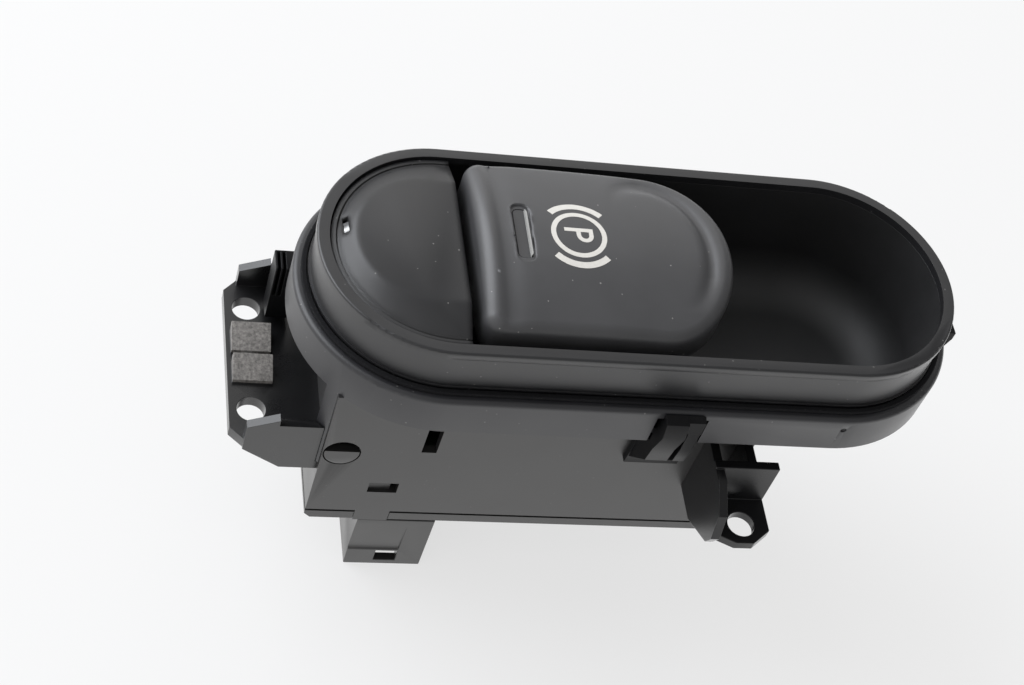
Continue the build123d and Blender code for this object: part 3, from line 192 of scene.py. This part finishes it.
class SwitchSymbol(bpy.types.PropertyGroup):
    """The printed parking brake symbol: a letter in a circle, between two brackets."""

    centre_x: length("Centre", "Symbol's centre along X", -13.6 * MM)
    circle_radius: length("Circle", "Middle radius of the printed circle", 4.35 * MM)
    circle_line: length("Circle line", "Width of the circle's line", 0.85 * MM)
    bracket_radius: length("Brackets", "Middle radius of the two brackets", 6.25 * MM)
    bracket_line: length("Bracket line", "Width of the brackets' line", 1.15 * MM)
    bracket_half: FloatProperty(
        name="Bracket half angle",
        description="Half the angle that a bracket spans",
        default=0.78,
        subtype="ANGLE",
    )
    letter_height: length("Letter height", "Height of the letter", 4.9 * MM)
    letter_line: length("Letter line", "Width of the letter's strokes", 0.75 * MM)
    letter_bowl: length("Letter bowl", "Outer radius of the letter's bowl", 1.45 * MM)
    ink_height: length("Ink height", "How far the ink stands above the paddle", 0.03 * MM)
    ink: paint("Ink", "Colour of the print", (0.62, 0.6, 0.56))


class SwitchFinish(bpy.types.PropertyGroup):
    """Colours of the moulded parts."""

    rim: paint("Rim", "Colour of the bezel ring", (0.01, 0.01, 0.011))
    frame_colour: paint("Frame", "Colour of the carrier frame", (0.012, 0.012, 0.014))
    paddle: paint("Paddle", "Colour of the paddle", (0.04, 0.04, 0.042))
    cap: paint("Cap", "Colour of the blank cap", (0.009, 0.009, 0.01))
    bowl: paint("Bowl", "Colour of the finger pocket", (0.0075, 0.0075, 0.008))
    box: paint("Box", "Colour of the housing", (0.015, 0.0145, 0.0145))
    bracket: paint("Bracket", "Colour of the brackets and clips", (0.004, 0.004, 0.0045))
    edge: length("Edge", "Radius of the moulded edges", 0.16 * MM)


class SwitchStage(bpy.types.PropertyGroup):
    """The floor, the lights and the camera."""

    floor_half: length("Floor", "Half the floor's side", 3.0)
    floor_colour: paint("Floor colour", "Colour of the floor", (0.66, 0.66, 0.66))
    floor_lift: level("Floor lift", "Share of the floor that glows instead", 0.7)
    floor_glow: level("Floor glow", "Brightness of the share that glows", 0.96)
    floor_shine: level("Floor shine", "Brightness that mirrors see in it", 1.5)
    sky_left: level("Sky, left", "Strength of the soft light from the far left", 1.1)
    sky_right: level("Sky, right", "Strength of the soft light from the far right", 0.3)
    window_power: power("Window", "Power of the large light at the left", 16.0)
    window_size: length("Window size", "Side of the large light", 1.0)
    window_place: place("Window place", "Where the large light stands", (-0.73, 0.5, 0.64))
    back_power: power("Back light", "Power of the light at the back", 2.4)
    back_size: length("Back light size", "Side of the light at the back", 1.0)
    back_place: place("Back place", "Where the back light stands", (0.15, 0.9, 0.62))
    eye: place("Eye", "Where the camera stands", (-0.10955, -0.20694, 0.24559))
    lens: level("Lens", "Focal length in millimetres on a 36 mm frame", 69.77)


class Number:
    """A number inside a material: the usual operators add Math nodes to it."""

    def __init__(self, surface, socket):
        self.surface = surface
        self.socket = socket

    def _math(self, operation, *terms):
        return self.surface.math(operation, *terms)

    def __add__(self, other):
        return self._math("ADD", self, other)

    def __sub__(self, other):
        return self._math("SUBTRACT", self, other)

    def __mul__(self, other):
        return self._math("MULTIPLY", self, other)

    def __rsub__(self, other):
        return self._math("SUBTRACT", other, self)

    def __gt__(self, other):
        return self._math("GREATER_THAN", self, other)

    def __lt__(self, other):
        return self._math("LESS_THAN", self, other)

    def clamped(self):
        """The number, kept between 0 and 1."""
        result = self._math("ADD", self, 0.0)
        result.socket.node.use_clamp = True
        return result

    def between(self, low, high):
        """0 at low, 1 at high, and straight between them."""
        return ((self - low) * (1.0 / (high - low))).clamped()


class Nodes:
    """The nodes of a material or of the world, made through one method."""

    def __init__(self, tree):
        self.tree = tree

    def _fill(self, socket, value):
        if isinstance(value, Number):
            self.tree.links.new(value.socket, socket)
        elif isinstance(value, tuple) and len(value) == 3 and socket.type == "RGBA":
            socket.default_value = (*value, 1.0)
        else:
            socket.default_value = value

    def add(self, kind, settings, *values, output=0, **named):
        """Any node: its settings, then the values or links of its sockets, by place or by name."""
        node = self.tree.nodes.new(kind)
        for setting, value in settings.items():
            setattr(node, setting, value)
        for place, value in enumerate(values):
            self._fill(node.inputs[place], value)
        for socket, value in named.items():
            self._fill(node.inputs[socket.replace("_", " ").title()], value)
        return Number(self, node.outputs[output])

    def math(self, operation, *terms):
        """One step of arithmetic."""
        return self.add("ShaderNodeMath", {"operation": operation}, *terms)


class Surface(Nodes):
    """A material being made, with the shader's own sockets set by name."""

    def __init__(self, name, colour, roughness, **fixed):
        self.material = bpy.data.materials.new(name)
        self.material.use_nodes = True
        super().__init__(self.material.node_tree)
        self.shader = self.tree.nodes["Principled BSDF"]
        self.set("Base Color", colour)
        self.set("Roughness", roughness)
        for socket, value in fixed.items():
            self.set(socket.replace("_", " ").title().replace("Ior", "IOR"), value)

    def set(self, socket, value):
        """Gives one of the shader's sockets a value or a link."""
        self._fill(self.shader.inputs[socket], value)

    def place(self):
        """Where the point lies, in metres, in the model's frame."""
        return self.add("ShaderNodeTexCoord", {}, output="Object")

    def noise(self, size, detail=2.0, roughness=0.5, stretch=None):
        """Soft noise whose features are about size metres across."""
        vector = self.place()
        if stretch:
            vector = self.add("ShaderNodeMapping", {}, Vector=vector, Scale=stretch)
        return self.add(
            "ShaderNodeTexNoise",
            {},
            output="Fac",
            Vector=vector,
            Scale=1.0 / size,
            Detail=detail,
            Roughness=roughness,
        )

    def cells(self, size):
        """Distance to the nearest of many scattered points, about size metres apart."""
        return self.add(
            "ShaderNodeTexVoronoi", {}, output="Distance", Vector=self.place(), Scale=1.0 / size
        )

    def part(self, axis):
        """One coordinate of the point's place."""
        return self.add("ShaderNodeSeparateXYZ", {}, self.place(), output=axis)

    def mix(self, factor, first, second):
        """A colour between two colours."""
        node = self.tree.nodes.new("ShaderNodeMix")
        node.data_type = "RGBA"
        factor_at, first_at, second_at, result_at = 0, 6, 7, 2
        self._fill(node.inputs[factor_at], factor)
        self._fill(node.inputs[first_at], first)
        self._fill(node.inputs[second_at], second)
        return Number(self, node.outputs[result_at])

    def bump(self, height, round_off=0.0):
        """Feeds a height in metres to the shader's normal, over creases rounded off by a radius."""
        normal = self.add(
            "ShaderNodeBump", {}, output="Normal", Height=height, Strength=1.0, Distance=1.0
        )
        if round_off:
            rounded = self.add("ShaderNodeBevel", {"samples": 8}, output="Normal", Radius=round_off)
            self.tree.links.new(rounded.socket, normal.socket.node.inputs["Normal"])
        self.set("Normal", normal)

    def bell(self, distance, before, after):
        """1 where a distance is 0, falling off as e to the minus square of its share of a width, with
        one width where it is negative and another where it is positive."""
        low = self.math("MINIMUM", distance, 0.0) * (1.0 / before)
        high = self.math("MAXIMUM", distance, 0.0) * (1.0 / after)
        return self.math("EXPONENT", (low * low + high * high) * -1.0)

    def within(self, axis, low, high):
        """1 where a coordinate lies between two values, and 0 elsewhere."""
        place = self.part(axis)
        return (place > low) * (place < high)

    def glow(self, strength):
        """An emitting shader of even white."""
        return self.add("ShaderNodeEmission", {}, (1.0, 1.0, 1.0), strength)

    def lift(self, share, camera_glow, mirror_glow):
        """Mixes a glow into the surface, and shows mirrors another glow."""
        tree_end = self.tree.nodes["Material Output"].inputs["Surface"]
        lit = Number(self, self.shader.outputs["BSDF"])
        mixed = self.add("ShaderNodeMixShader", {}, share, lit, self.glow(camera_glow))
        mirrored = self.add("ShaderNodeLightPath", {}, output="Is Glossy Ray")
        shown = self.add("ShaderNodeMixShader", {}, mirrored, mixed, self.glow(mirror_glow))
        self.tree.links.new(shown.socket, tree_end)


def strip_points(path, width, height, sink, closed=False):
    """A flat ribbon carried along a path: four corners of a thin rectangle at each point of the path,
    each the point plus or minus half the width, square to the path's direction in plan."""
    ahead = np.roll(path, -1, axis=0) - np.roll(path, 1, axis=0)
    if not closed:
        ahead[0] = path[1] - path[0]
        ahead[-1] = path[-1] - path[-2]
    across = np.stack([-ahead[:, 1], ahead[:, 0]], axis=1)
    across /= np.linalg.norm(across, axis=1)[:, None]
    left = path + across * width / 2
    right = path - across * width / 2
    corners = [(left, -sink), (left, height), (right, height), (right, -sink)]
    lifted = [np.column_stack([flat, np.full(len(flat), rise)]) for flat, rise in corners]
    return np.stack(lifted, axis=1)


def sheet_faces(rows, columns, wrap_rows=False, wrap_columns=False):
    """Quads between neighbours of a grid of points, numbered row by row."""
    row = np.arange(rows if wrap_rows else rows - 1)
    column = np.arange(columns if wrap_columns else columns - 1)
    i, j = np.meshgrid(row, column, indexing="ij")
    near, far = i % rows, (i + 1) % rows
    here, there = j % columns, (j + 1) % columns
    near, far = near * columns, far * columns
    quads = [near + here, near + there, far + there, far + here]
    return np.stack(quads, axis=-1).reshape(-1, 4)


def mesh_from(points, faces):
    """A mesh from arrays of points and of quads."""
    mesh = bpy.data.meshes.new("surface")
    mesh.from_pydata(points.reshape(-1, 3).tolist(), [], [list(face) for face in faces.tolist()])
    mesh.update()
    return mesh


def dress(piece, body, material, nodes=()):
    """Links a piece, gives it its material and its body, and hides the packed nodes that it stands
    for.
    """
    piece.data.materials.clear()
    piece.data.materials.append(material)
    if piece.name not in bpy.context.scene.collection.objects:
        bpy.context.scene.collection.objects.link(piece)
    piece.data.shade_smooth()
    piece.data.set_sharp_from_angle(angle=SHARP)
    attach(piece, body)
    if nodes:
        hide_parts(*nodes)
    return piece


def body_of_node(node):
    """The body that a node of the packed model rides on."""
    for body, members in frame["record"]["behaviour"]["bodies"].items():
        if node in members:
            return body
    raise RuntimeError(f"no body holds {node}")


def edged_copy(node, material, width):
    """A copy of a packed node with its triangles joined and its edges rounded."""
    mesh = frame["nodes"][node].data.copy()
    piece = bpy.data.objects.new(node + "_skin", mesh)
    bpy.context.scene.collection.objects.link(piece)
    weld = bmesh.new()
    weld.from_mesh(mesh)
    bmesh.ops.remove_doubles(weld, verts=weld.verts, dist=WELD)
    bmesh.ops.dissolve_limit(weld, angle_limit=FLAT, verts=weld.verts, edges=weld.edges)
    weld.to_mesh(mesh)
    weld.free()
    dress(piece, body_of_node(node), material, (node,))
    round_edges = piece.modifiers.new("Edges", "BEVEL")
    round_edges.width = width
    round_edges.segments = 2
    round_edges.limit_method = "ANGLE"
    round_edges.angle_limit = SHARP
    round_edges.use_clamp_overlap = True
    round_edges.harden_normals = True
    return piece


def repaint(node, material):
    """Gives a packed node its finished material."""
    node_object = frame["nodes"][node]
    node_object.data.materials.clear()
    node_object.data.materials.append(material)


def moulded(name, colour, roughness, grain=0.12 * MM, dust=0.0, patch=None, soft=0.0, sheen=0.5):
    """Moulded plastic: a fine spark-eroded grain, cloudy gloss and a little dust.

    grain is the size of the grain, dust the share of the lint that shows, patch a function that
    gives the share of the surface that is pale and rough, soft the radius that the creases are
    rounded off by, and sheen the level of the mirror light."""
    surface = Surface(name, colour, roughness, Specular_Ior_Level=sheen)
    cloud = surface.noise(9 * MM, detail=3.0)
    fine = surface.noise(grain, detail=2.0, roughness=0.6)
    speck = surface.cells(2.3 * MM)
    lint = (speck < surface.noise(3.1 * MM) * 0.105) * dust
    pale = tuple(min(1.0, part * 1.35 + 0.002) for part in colour)
    shade = surface.mix((cloud - 0.25) * 1.2, colour, pale)
    shade = surface.mix(lint, shade, DUST)
    gloss = cloud * 0.12 + fine * 0.1 + (roughness - 0.11)
    height = fine * GRAIN_DEPTH + lint * LINT_HEIGHT
    if patch:
        share = patch(surface)
        sparkle = surface.noise(0.55 * MM, detail=4.0, roughness=0.65)
        coarse = surface.mix(sparkle.between(0.35, 0.7), COARSE_DARK, COARSE_PALE)
        shade = surface.mix(share, shade, coarse)
        height = height + share * sparkle * COARSE_DEPTH
    surface.set("Base Color", shade)
    surface.set("Roughness", gloss.clamped())
    surface.bump(height, soft)
    return surface.material


def rough_wedges(surface):
    """The bracket's two sloping faces, which are drawn paler and with a coarse sparkle."""
    over = surface.within("Z", *WEDGE_Z)
    across = surface.within("Y", *WEDGE_Y)
    return over * across * (surface.part("X") < WEDGE_RIGHT)


def foam():
    """Closed-cell foam: nearly black, with pores and pale specks."""
    surface = Surface("foam_strip", (0.006, 0.006, 0.006), 0.95, Specular_Ior_Level=0.2)
    pores = surface.cells(0.35 * MM)
    specks = (surface.noise(0.16 * MM, detail=1.0) > 0.74) * 0.5
    surface.set("Base Color", surface.mix(specks, FOAM_DARK, FOAM_PALE))
    surface.bump(pores * (0.04 * MM))
    return surface.material


def ink(colour):
    """Pad-printed ink, a little uneven."""
    surface = Surface("printed_ink", colour, 0.5)
    cloud = surface.noise(0.5 * MM, detail=3.0)
    darker = tuple(part * 0.86 for part in colour)
    surface.set("Base Color", surface.mix(cloud, darker, colour))
    surface.bump(cloud * (0.004 * MM))
    return surface.material


def smoked_lens():
    """Smoked plastic, with a painted highlight: a pale band in its colour along its right side."""
    surface = Surface("smoked_lens", SMOKE, 0.4)
    cloud = surface.noise(2.5 * MM)
    # Painted highlight: the colour turns pale along the lens's right side.
    edge = surface.part("X") > LENS_HIGHLIGHT_X
    surface.set("Base Color", surface.mix(edge, SMOKE, PAINTED_LENS_HIGHLIGHT))
    surface.set("Roughness", cloud * 0.1 + 0.35)
    return surface.material


def metal(name, colour, roughness):
    """Plated metal with fine scratches along its length."""
    surface = Surface(name, colour, roughness, Metallic=1.0)
    scratches = surface.noise(0.4 * MM, detail=4.0, stretch=(1.0, 1.0, 14.0))
    surface.set("Roughness", scratches * 0.3 + (roughness - 0.15))
    darker = tuple(part * 0.6 for part in colour)
    surface.set("Base Color", surface.mix(scratches * 0.4, colour, darker))
    surface.bump(scratches * (0.005 * MM))
    return surface.material


def solder_mask():
    """A circuit board: solder mask over tracks, and bare pads."""
    surface = Surface("solder_mask", (0.006, 0.012, 0.009), 0.3)
    across = surface.part("X")
    along = surface.part("Y")
    ripple = surface.noise(6 * MM, detail=0.0)
    band = surface.math("FRACT", across * (1 / (1.6 * MM)) + ripple * 2.0)
    rung = surface.math("FRACT", along * (1 / (2.1 * MM)) + ripple * 3.0)
    track = (band < 0.3) * (ripple > 0.45) + (rung < 0.25) * (ripple < 0.45)
    surface.set("Base Color", surface.mix(track.clamped(), MASK, TRACK))
    surface.bump(track * (0.02 * MM))
    return surface.material


def glint_lens():
    """A tiny smoked window, with a painted glint: one pale spot in its colour."""
    surface = Surface("glint_lens", GLINT_DARK, 0.12)
    painted_glint = surface.bell(surface.part("Y") - GLINT_Y, GLINT_WIDTH, GLINT_WIDTH)
    # Painted glint: a pale spot in the colour, about a width across.
    surface.set("Base Color", surface.mix(painted_glint.clamped(), GLINT_DARK, GLINT_PALE))
    surface.set("Roughness", surface.noise(0.8 * MM) * 0.1 + 0.08)
    return surface.material


def clear_plastic():
    """Clear light-guide plastic, lightly frosted."""
    surface = Surface("clear_plastic", (0.85, 0.88, 0.9), 0.2, Coat_Weight=0.5)
    cloud = surface.noise(1.2 * MM)
    surface.set("Roughness", cloud * 0.2 + 0.1)
    surface.set("Alpha", 0.75)
    return surface.material


def crown_height(x, y, crown):
    """Height of the paddle's top: an arc of across_radius is turned about a far lower axis along Y,
    so z is the far centre plus the root of the arc's distance squared less the way along X squared."""
    centre = PADDLE_TOP - crown.along_radius
    arc = crown.along_radius - crown.across_radius + np.sqrt(crown.across_radius**2 - y**2)
    return centre + np.sqrt(arc**2 - (x - crown.middle_x) ** 2)


def bell(distance, before, after):
    """exp(-(d / w)^2), where w is before for a negative distance d and after for a positive one."""
    low, high = np.minimum(distance, 0) / before, np.maximum(distance, 0) / after
    return np.exp(-(low**2) - high**2)


def tip_reach(x, y):
    """How far out a point lies from the finger hollow's middle: the root of (x / a)^2 + (y / b)^2,
    which is 1 on the ellipse."""
    return np.sqrt((x / HOLLOW_HALF_X) ** 2 + ((y - HOLLOW_Y) / HOLLOW_HALF_Y) ** 2)


def paddle_relief(x, y):
    """Depth of the paddle's two valleys below its crown: a bell of the way from a line, beside the
    rolled left end, and a bell of the way from an ellipse, inside the lip of the finger hollow."""
    roll = ROLL_DEPTH * bell(x - ROLL_X, *ROLL_WIDTHS)
    groove = GROOVE_DEPTH * bell(tip_reach(x, y) - GROOVE_REACH, *GROOVE_WIDTHS)
    at_tip = np.clip((x - FADE_X) / FADE, 0, 1) * np.clip((y - FADE_Y) / FADE, 0, 1)
    return roll + groove * at_tip


def arc_path(radius, start, end, count):
    """Points on a circle about the symbol's centre, from one angle to another."""
    angle = np.linspace(start, end, count)
    return np.stack([radius * np.cos(angle), radius * np.sin(angle)], axis=1)


def letter_paths(symbol):
    """The letter's stem and bowl as lines, drawn with its top towards +X and its right towards -Y."""
    half = symbol.letter_height / 2
    line = symbol.letter_line
    radius = symbol.letter_bowl - line / 2
    shift = symbol.letter_bowl * 0.62
    stem = np.array([[-half, shift], [half, shift]])
    turn = np.linspace(np.pi / 2, -np.pi / 2, 20)
    across = symbol.letter_bowl * 0.75
    middle = half - line / 2 - radius
    along, aside = radius * np.sin(turn), radius * np.cos(turn)
    round_part = np.stack([middle + along, shift - across - aside], axis=1)
    bowl = np.vstack([[half - line / 2, shift], round_part, [middle - radius, shift]])
    return [(stem, False), (bowl, False)]


class SWITCH_OT_shells(bpy.types.Operator):
    """Finish the ring, the frame, the cap, the pocket and the housing"""

    bl_idname = "switch.shells"
    bl_label = "Moulded shells"

    def execute(self, context):
        finish = context.scene.switch_finish
        rim = moulded("bezel_plastic", tuple(finish.rim), 0.36, dust=0.3)
        frame_plastic = moulded("frame_plastic", tuple(finish.frame_colour), 0.42, dust=0.3)
        cap = moulded("cap_plastic", tuple(finish.cap), 0.4, FINE_GRAIN, dust=0.5, soft=1.6 * MM)
        bowl = moulded("pocket_plastic", tuple(finish.bowl), 0.58, FINE_GRAIN)
        box = moulded("housing_plastic", tuple(finish.box), 0.4, grain=0.15 * MM, dust=0.1)
        end = moulded("end_bracket_plastic", tuple(finish.bracket), 0.3, patch=rough_wedges)
        bracket = moulded("bracket_plastic", tuple(finish.bracket), 0.3, sheen=0.3)
        clip = moulded("clip_plastic", tuple(finish.bracket), 0.4, sheen=0.1)
        dark = moulded("socket_plastic", tuple(finish.box), 0.38)
        for node, material, width in (
            ("bezel_ring", rim, 1.0),
            ("carrier_frame", frame_plastic, 1.0),
            ("blank_cap", cap, 0.8),
            ("finger_bowl", bowl, 0.6),
            ("housing_shell", box, 1.0),
            ("bottom_cover", box, 1.0),
            ("connector_shroud", dark, 1.2),
            ("end_bracket", end, 1.2),
            ("front_bracket", bracket, 1.2),
            ("rear_bracket", bracket, 1.2),
            ("front_clip", clip, 1.0),
            ("rear_clip", clip, 1.0),
            ("left_clip", clip, 1.0),
            ("right_clip", clip, 1.0),
        ):
            edged_copy(node, material, finish.edge * width)
        return {"FINISHED"}


class SWITCH_OT_paddle(bpy.types.Operator):
    """Finish the paddle and what rides in it"""

    bl_idname = "switch.paddle"
    bl_label = "Paddle"

    def execute(self, context):
        finish = context.scene.switch_finish
        satin = moulded(
            "paddle_plastic", tuple(finish.paddle), 0.42, FINE_GRAIN, dust=0.7, soft=0.35 * MM
        )
        shell = edged_copy("paddle_shell", satin, finish.edge)
        self.refine(shell.data)
        self.carve(shell.data, context.scene.switch_crown)
        repaint("indicator_lens", smoked_lens())
        return {"FINISHED"}

    def coarse(self, edge):
        """Tells whether an edge of the outer top is too long to carry the valleys."""
        x, y, z = (edge.verts[0].co + edge.verts[1].co) / 2
        if z < TOP_LOW or all(face.normal.z < TOP_RISE for face in edge.link_faces):
            return False
        by_roll = x < ROLL_END
        by_lip = x > HOLLOW_LEFT and GROOVE_BAND[0] < tip_reach(x, y) < GROOVE_BAND[1]
        return edge.calc_length() > (FINE_EDGE if by_roll or by_lip else PLAIN_EDGE)

    def refine(self, mesh):
        """Splits the long edges of the top until the valleys can be carved."""
        shell = bmesh.new()
        shell.from_mesh(mesh)
        for _ in range(SPLIT_ROUNDS):
            bmesh.ops.triangulate(shell, faces=shell.faces)
            long_edges = [edge for edge in shell.edges if self.coarse(edge)]
            bmesh.ops.subdivide_edges(shell, edges=long_edges, cuts=1)
        bmesh.ops.triangulate(shell, faces=shell.faces)
        shell.to_mesh(mesh)
        shell.free()

    def carve(self, mesh, crown):
        """Brings the top's points to the smooth crown, z = crown_height(x, y), from further off inside
        the packed hollow, and sinks them by paddle_relief(x, y) times their normal's rise squared."""
        count = len(mesh.vertices) * 3
        flat, slope = np.empty(count), np.empty(count)
        mesh.vertices.foreach_get("co", flat)
        mesh.vertices.foreach_get("normal", slope)
        points = flat.reshape(-1, 3)
        x, y, z = points.T
        rise = np.clip(slope.reshape(-1, 3)[:, 2], 0, 1)
        top = crown_height(x, y, crown)
        by_hollow = (x > HOLLOW_LEFT) & (tip_reach(x, y) < HOLLOW_EDGE)
        near = np.abs(z - top) < np.where(by_hollow, HOLLOW_SNAP, CROWN_SNAP)
        on_top = near & (rise > TOP_RISE)
        points[on_top, 2] = top[on_top]
        rise[on_top & by_hollow] = 1.0
        points[:, 2] -= paddle_relief(x, y) * rise**2 * (z > TOP_LOW)
        mesh.vertices.foreach_set("co", points.ravel())
        mesh.update()
        mesh.shade_smooth()
        mesh.set_sharp_from_angle(angle=SHARP)


class SWITCH_OT_symbol(bpy.types.Operator):
    """Print the parking brake symbol on the paddle"""

    bl_idname = "switch.symbol"
    bl_label = "Printed symbol"

    def execute(self, context):
        symbol = context.scene.switch_symbol
        crown = context.scene.switch_crown
        quarter = np.pi / 2
        half = symbol.bracket_half
        circle = arc_path(symbol.circle_radius, 0, 2 * np.pi, 97)[:-1]
        upper = arc_path(symbol.bracket_radius, quarter - half, quarter + half, 40)
        lower = arc_path(symbol.bracket_radius, -quarter - half, half - quarter, 40)
        paths = [
            (circle, True, symbol.circle_line),
            (upper, False, symbol.bracket_line),
            (lower, False, symbol.bracket_line),
        ]
        paths += [(path, closed, symbol.letter_line) for path, closed in letter_paths(symbol)]
        points, faces, count = [], [], 0
        for path, closed, width in paths:
            ribbon = strip_points(path, width, symbol.ink_height, symbol.ink_height, closed)
            rows = len(ribbon)
            points.append(ribbon.reshape(-1, 3))
            faces.append(sheet_faces(rows, 4, closed, True) + count)
            if not closed:
                last = 4 * rows - 1
                faces.append(np.array([[0, 1, 2, 3], [last, last - 1, last - 2, last - 3]]) + count)
            count += rows * 4
        points = np.vstack(points)
        points[:, 0] += symbol.centre_x
        points[:, 2] += crown_height(*points.T[:2], crown) - paddle_relief(*points.T[:2])
        mesh = mesh_from(points, np.vstack(faces))
        shell = bmesh.new()
        shell.from_mesh(mesh)
        bmesh.ops.recalc_face_normals(shell, faces=shell.faces)
        shell.to_mesh(mesh)
        shell.free()
        piece = bpy.data.objects.new("printed_symbol", mesh)
        dress(piece, "paddle", ink(tuple(symbol.ink)))
        return {"FINISHED"}


class SWITCH_OT_seal(bpy.types.Operator):
    """Finish the foam strip"""

    bl_idname = "switch.seal"
    bl_label = "Foam strip"

    def execute(self, context):
        edged_copy("seal_strip", foam(), context.scene.switch_finish.edge * 1.5)
        return {"FINISHED"}


class SWITCH_OT_mechanism(bpy.types.Operator):
    """Finish the pieces inside, from the lever to the screws, and the cap's small lens"""

    bl_idname = "switch.mechanism"
    bl_label = "Mechanism"

    def execute(self, context):
        white = moulded("natural_plastic", (0.72, 0.71, 0.66), 0.45)
        black = moulded("glass_filled_plastic", (0.025, 0.025, 0.027), 0.5)
        steel = metal("zinc_steel", (0.62, 0.62, 0.64), 0.35)
        tin = metal("tinned_contact", (0.78, 0.7, 0.5), 0.3)
        clear = clear_plastic()
        finishes = {
            white: (
                "switch_base",
                "contact_slider",
                "light_diffuser",
                "left_tappet",
                "right_tappet",
            ),
            black: ("paddle_lever", "pin_header", "board_components", "stop_pads"),
            steel: (
                "pivot_pin",
                "left_spring",
                "right_spring",
                "base_screws",
                "cover_screws",
                "board_screws",
                "paddle_screws",
            ),
            tin: ("connector_pins", "contact_wipers"),
            clear: ("light_guide", "signal_led"),
            glint_lens(): ("locator_lens",),
            solder_mask(): ("circuit_board",),
        }
        for material, nodes in finishes.items():
            for node in nodes:
                repaint(node, material)
        return {"FINISHED"}


class SWITCH_OT_stage(bpy.types.Operator):
    """Make the white floor, the lights and the camera"""

    bl_idname = "switch.stage"
    bl_label = "Stage"

    def execute(self, context):
        stage = context.scene.switch_stage
        context.scene.view_settings.view_transform = "Standard"
        self.floor(stage)
        self.sky(context.scene, stage)
        self.lamp("window", stage.window_power, stage.window_size, stage.window_place, COOL)
        self.lamp("back_light", stage.back_power, stage.back_size, stage.back_place, WARM)
        self.camera(context.scene, stage)
        return {"FINISHED"}

    def floor(self, stage):
        """A large flat grid of points at the switch's lowest height, most of whose light is a glow."""
        half = stage.floor_half
        steps = np.linspace(-half, half, 9)
        x, y = np.meshgrid(steps, steps, indexing="ij")
        points = np.stack([x, y, np.full_like(x, FLOOR_Z)], axis=-1)
        faces = sheet_faces(len(steps), len(steps))[:, ::-1]
        floor = bpy.data.objects.new("floor", mesh_from(points, faces))
        surface = Surface("floor_white", tuple(stage.floor_colour), 0.9, Specular_Ior_Level=0.0)
        fibre = surface.noise(0.4 * MM)
        surface.bump(fibre * (0.004 * MM))
        surface.lift(stage.floor_lift, stage.floor_glow, stage.floor_shine)
        floor.data.materials.append(surface.material)
        bpy.context.scene.collection.objects.link(floor)

    def sky(self, scene, stage):
        """A soft light from all round, straight from one strength at the far left to another at the
        far right, which the camera sees as white."""
        world = bpy.data.worlds.new("studio")
        world.use_nodes = True
        scene.world = world
        sky = Nodes(world.node_tree)
        direction = sky.add("ShaderNodeTexCoord", {}, output="Generated")
        right = sky.add("ShaderNodeSeparateXYZ", {}, direction, output="X")
        half_step = (stage.sky_right - stage.sky_left) / 2
        strength = right * half_step + (stage.sky_right + stage.sky_left) / 2
        seen = sky.add("ShaderNodeLightPath", {}, output="Is Camera Ray")
        background = sky.tree.nodes["Background"]
        background.inputs["Color"].default_value = (1.0, 1.0, 1.0, 1.0)
        sky.tree.links.new((strength + seen * (1 - strength)).socket, background.inputs["Strength"])

    def lamp(self, name, power, size, place, colour):
        """A large soft light, aimed at the switch."""
        light = bpy.data.lights.new(name, "AREA")
        light.energy = power
        light.size = size
        light.color = colour
        lamp = bpy.data.objects.new(name, light)
        lamp.location = Vector(place)
        lamp.rotation_euler = (-Vector(place)).to_track_quat("-Z", "Y").to_euler()
        bpy.context.scene.collection.objects.link(lamp)

    def camera(self, scene, stage):
        """The camera's right, up and back directions are the columns of its rotation."""
        right = Vector((0.96241167, -0.12139585, 0.24295436))
        up = Vector((-0.053869, 0.79145273, 0.60885195))
        back = right.cross(up)
        turn = Matrix((right, up, back)).transposed().to_4x4()
        data = bpy.data.cameras.new("camera")
        data.lens = stage.lens
        data.sensor_width = 36.0
        data.clip_start = 0.01
        camera = bpy.data.objects.new("camera", data)
        camera.matrix_world = Matrix.Translation(Vector(stage.eye)) @ turn
        scene.collection.objects.link(camera)
        scene.camera = camera


OPERATORS = (
    SWITCH_OT_shells,
    SWITCH_OT_paddle,
    SWITCH_OT_symbol,
    SWITCH_OT_seal,
    SWITCH_OT_mechanism,
    SWITCH_OT_stage,
)
GROUPS = {
    "switch_crown": SwitchCrown,
    "switch_symbol": SwitchSymbol,
    "switch_finish": SwitchFinish,
    "switch_stage": SwitchStage,
}


class SWITCH_PT_panel(bpy.types.Panel):
    """The switch's sizes, colours and steps"""

    bl_idname = "SWITCH_PT_panel"
    bl_label = "Parking Brake Switch"
    bl_space_type = "VIEW_3D"
    bl_region_type = "UI"
    bl_category = "Switch"

    def draw(self, context):
        for name, group in GROUPS.items():
            box = self.layout.box()
            box.label(text=group.__doc__.split(":")[0].rstrip("."))
            for setting in group.__annotations__:
                box.prop(getattr(context.scene, name), setting)
        for operator in OPERATORS:
            self.layout.operator(operator.bl_idname)


def register():
    """Registers the classes and hangs the settings on the scene."""
    for group in (*GROUPS.values(), *OPERATORS, SWITCH_PT_panel):
        bpy.utils.register_class(group)
    for name, group in GROUPS.items():
        setattr(bpy.types.Scene, name, PointerProperty(type=group))


def unregister():
    """Takes the settings and the classes away again."""
    for name in GROUPS:
        delattr(bpy.types.Scene, name)
    for group in reversed((*GROUPS.values(), *OPERATORS, SWITCH_PT_panel)):
        bpy.utils.unregister_class(group)


def main():
    """Registers the classes and runs every step."""
    register()
    for operator in OPERATORS:
        group, step = operator.bl_idname.split(".")
        getattr(getattr(bpy.ops, group), step)()


if __name__ == "__main__":
    main()
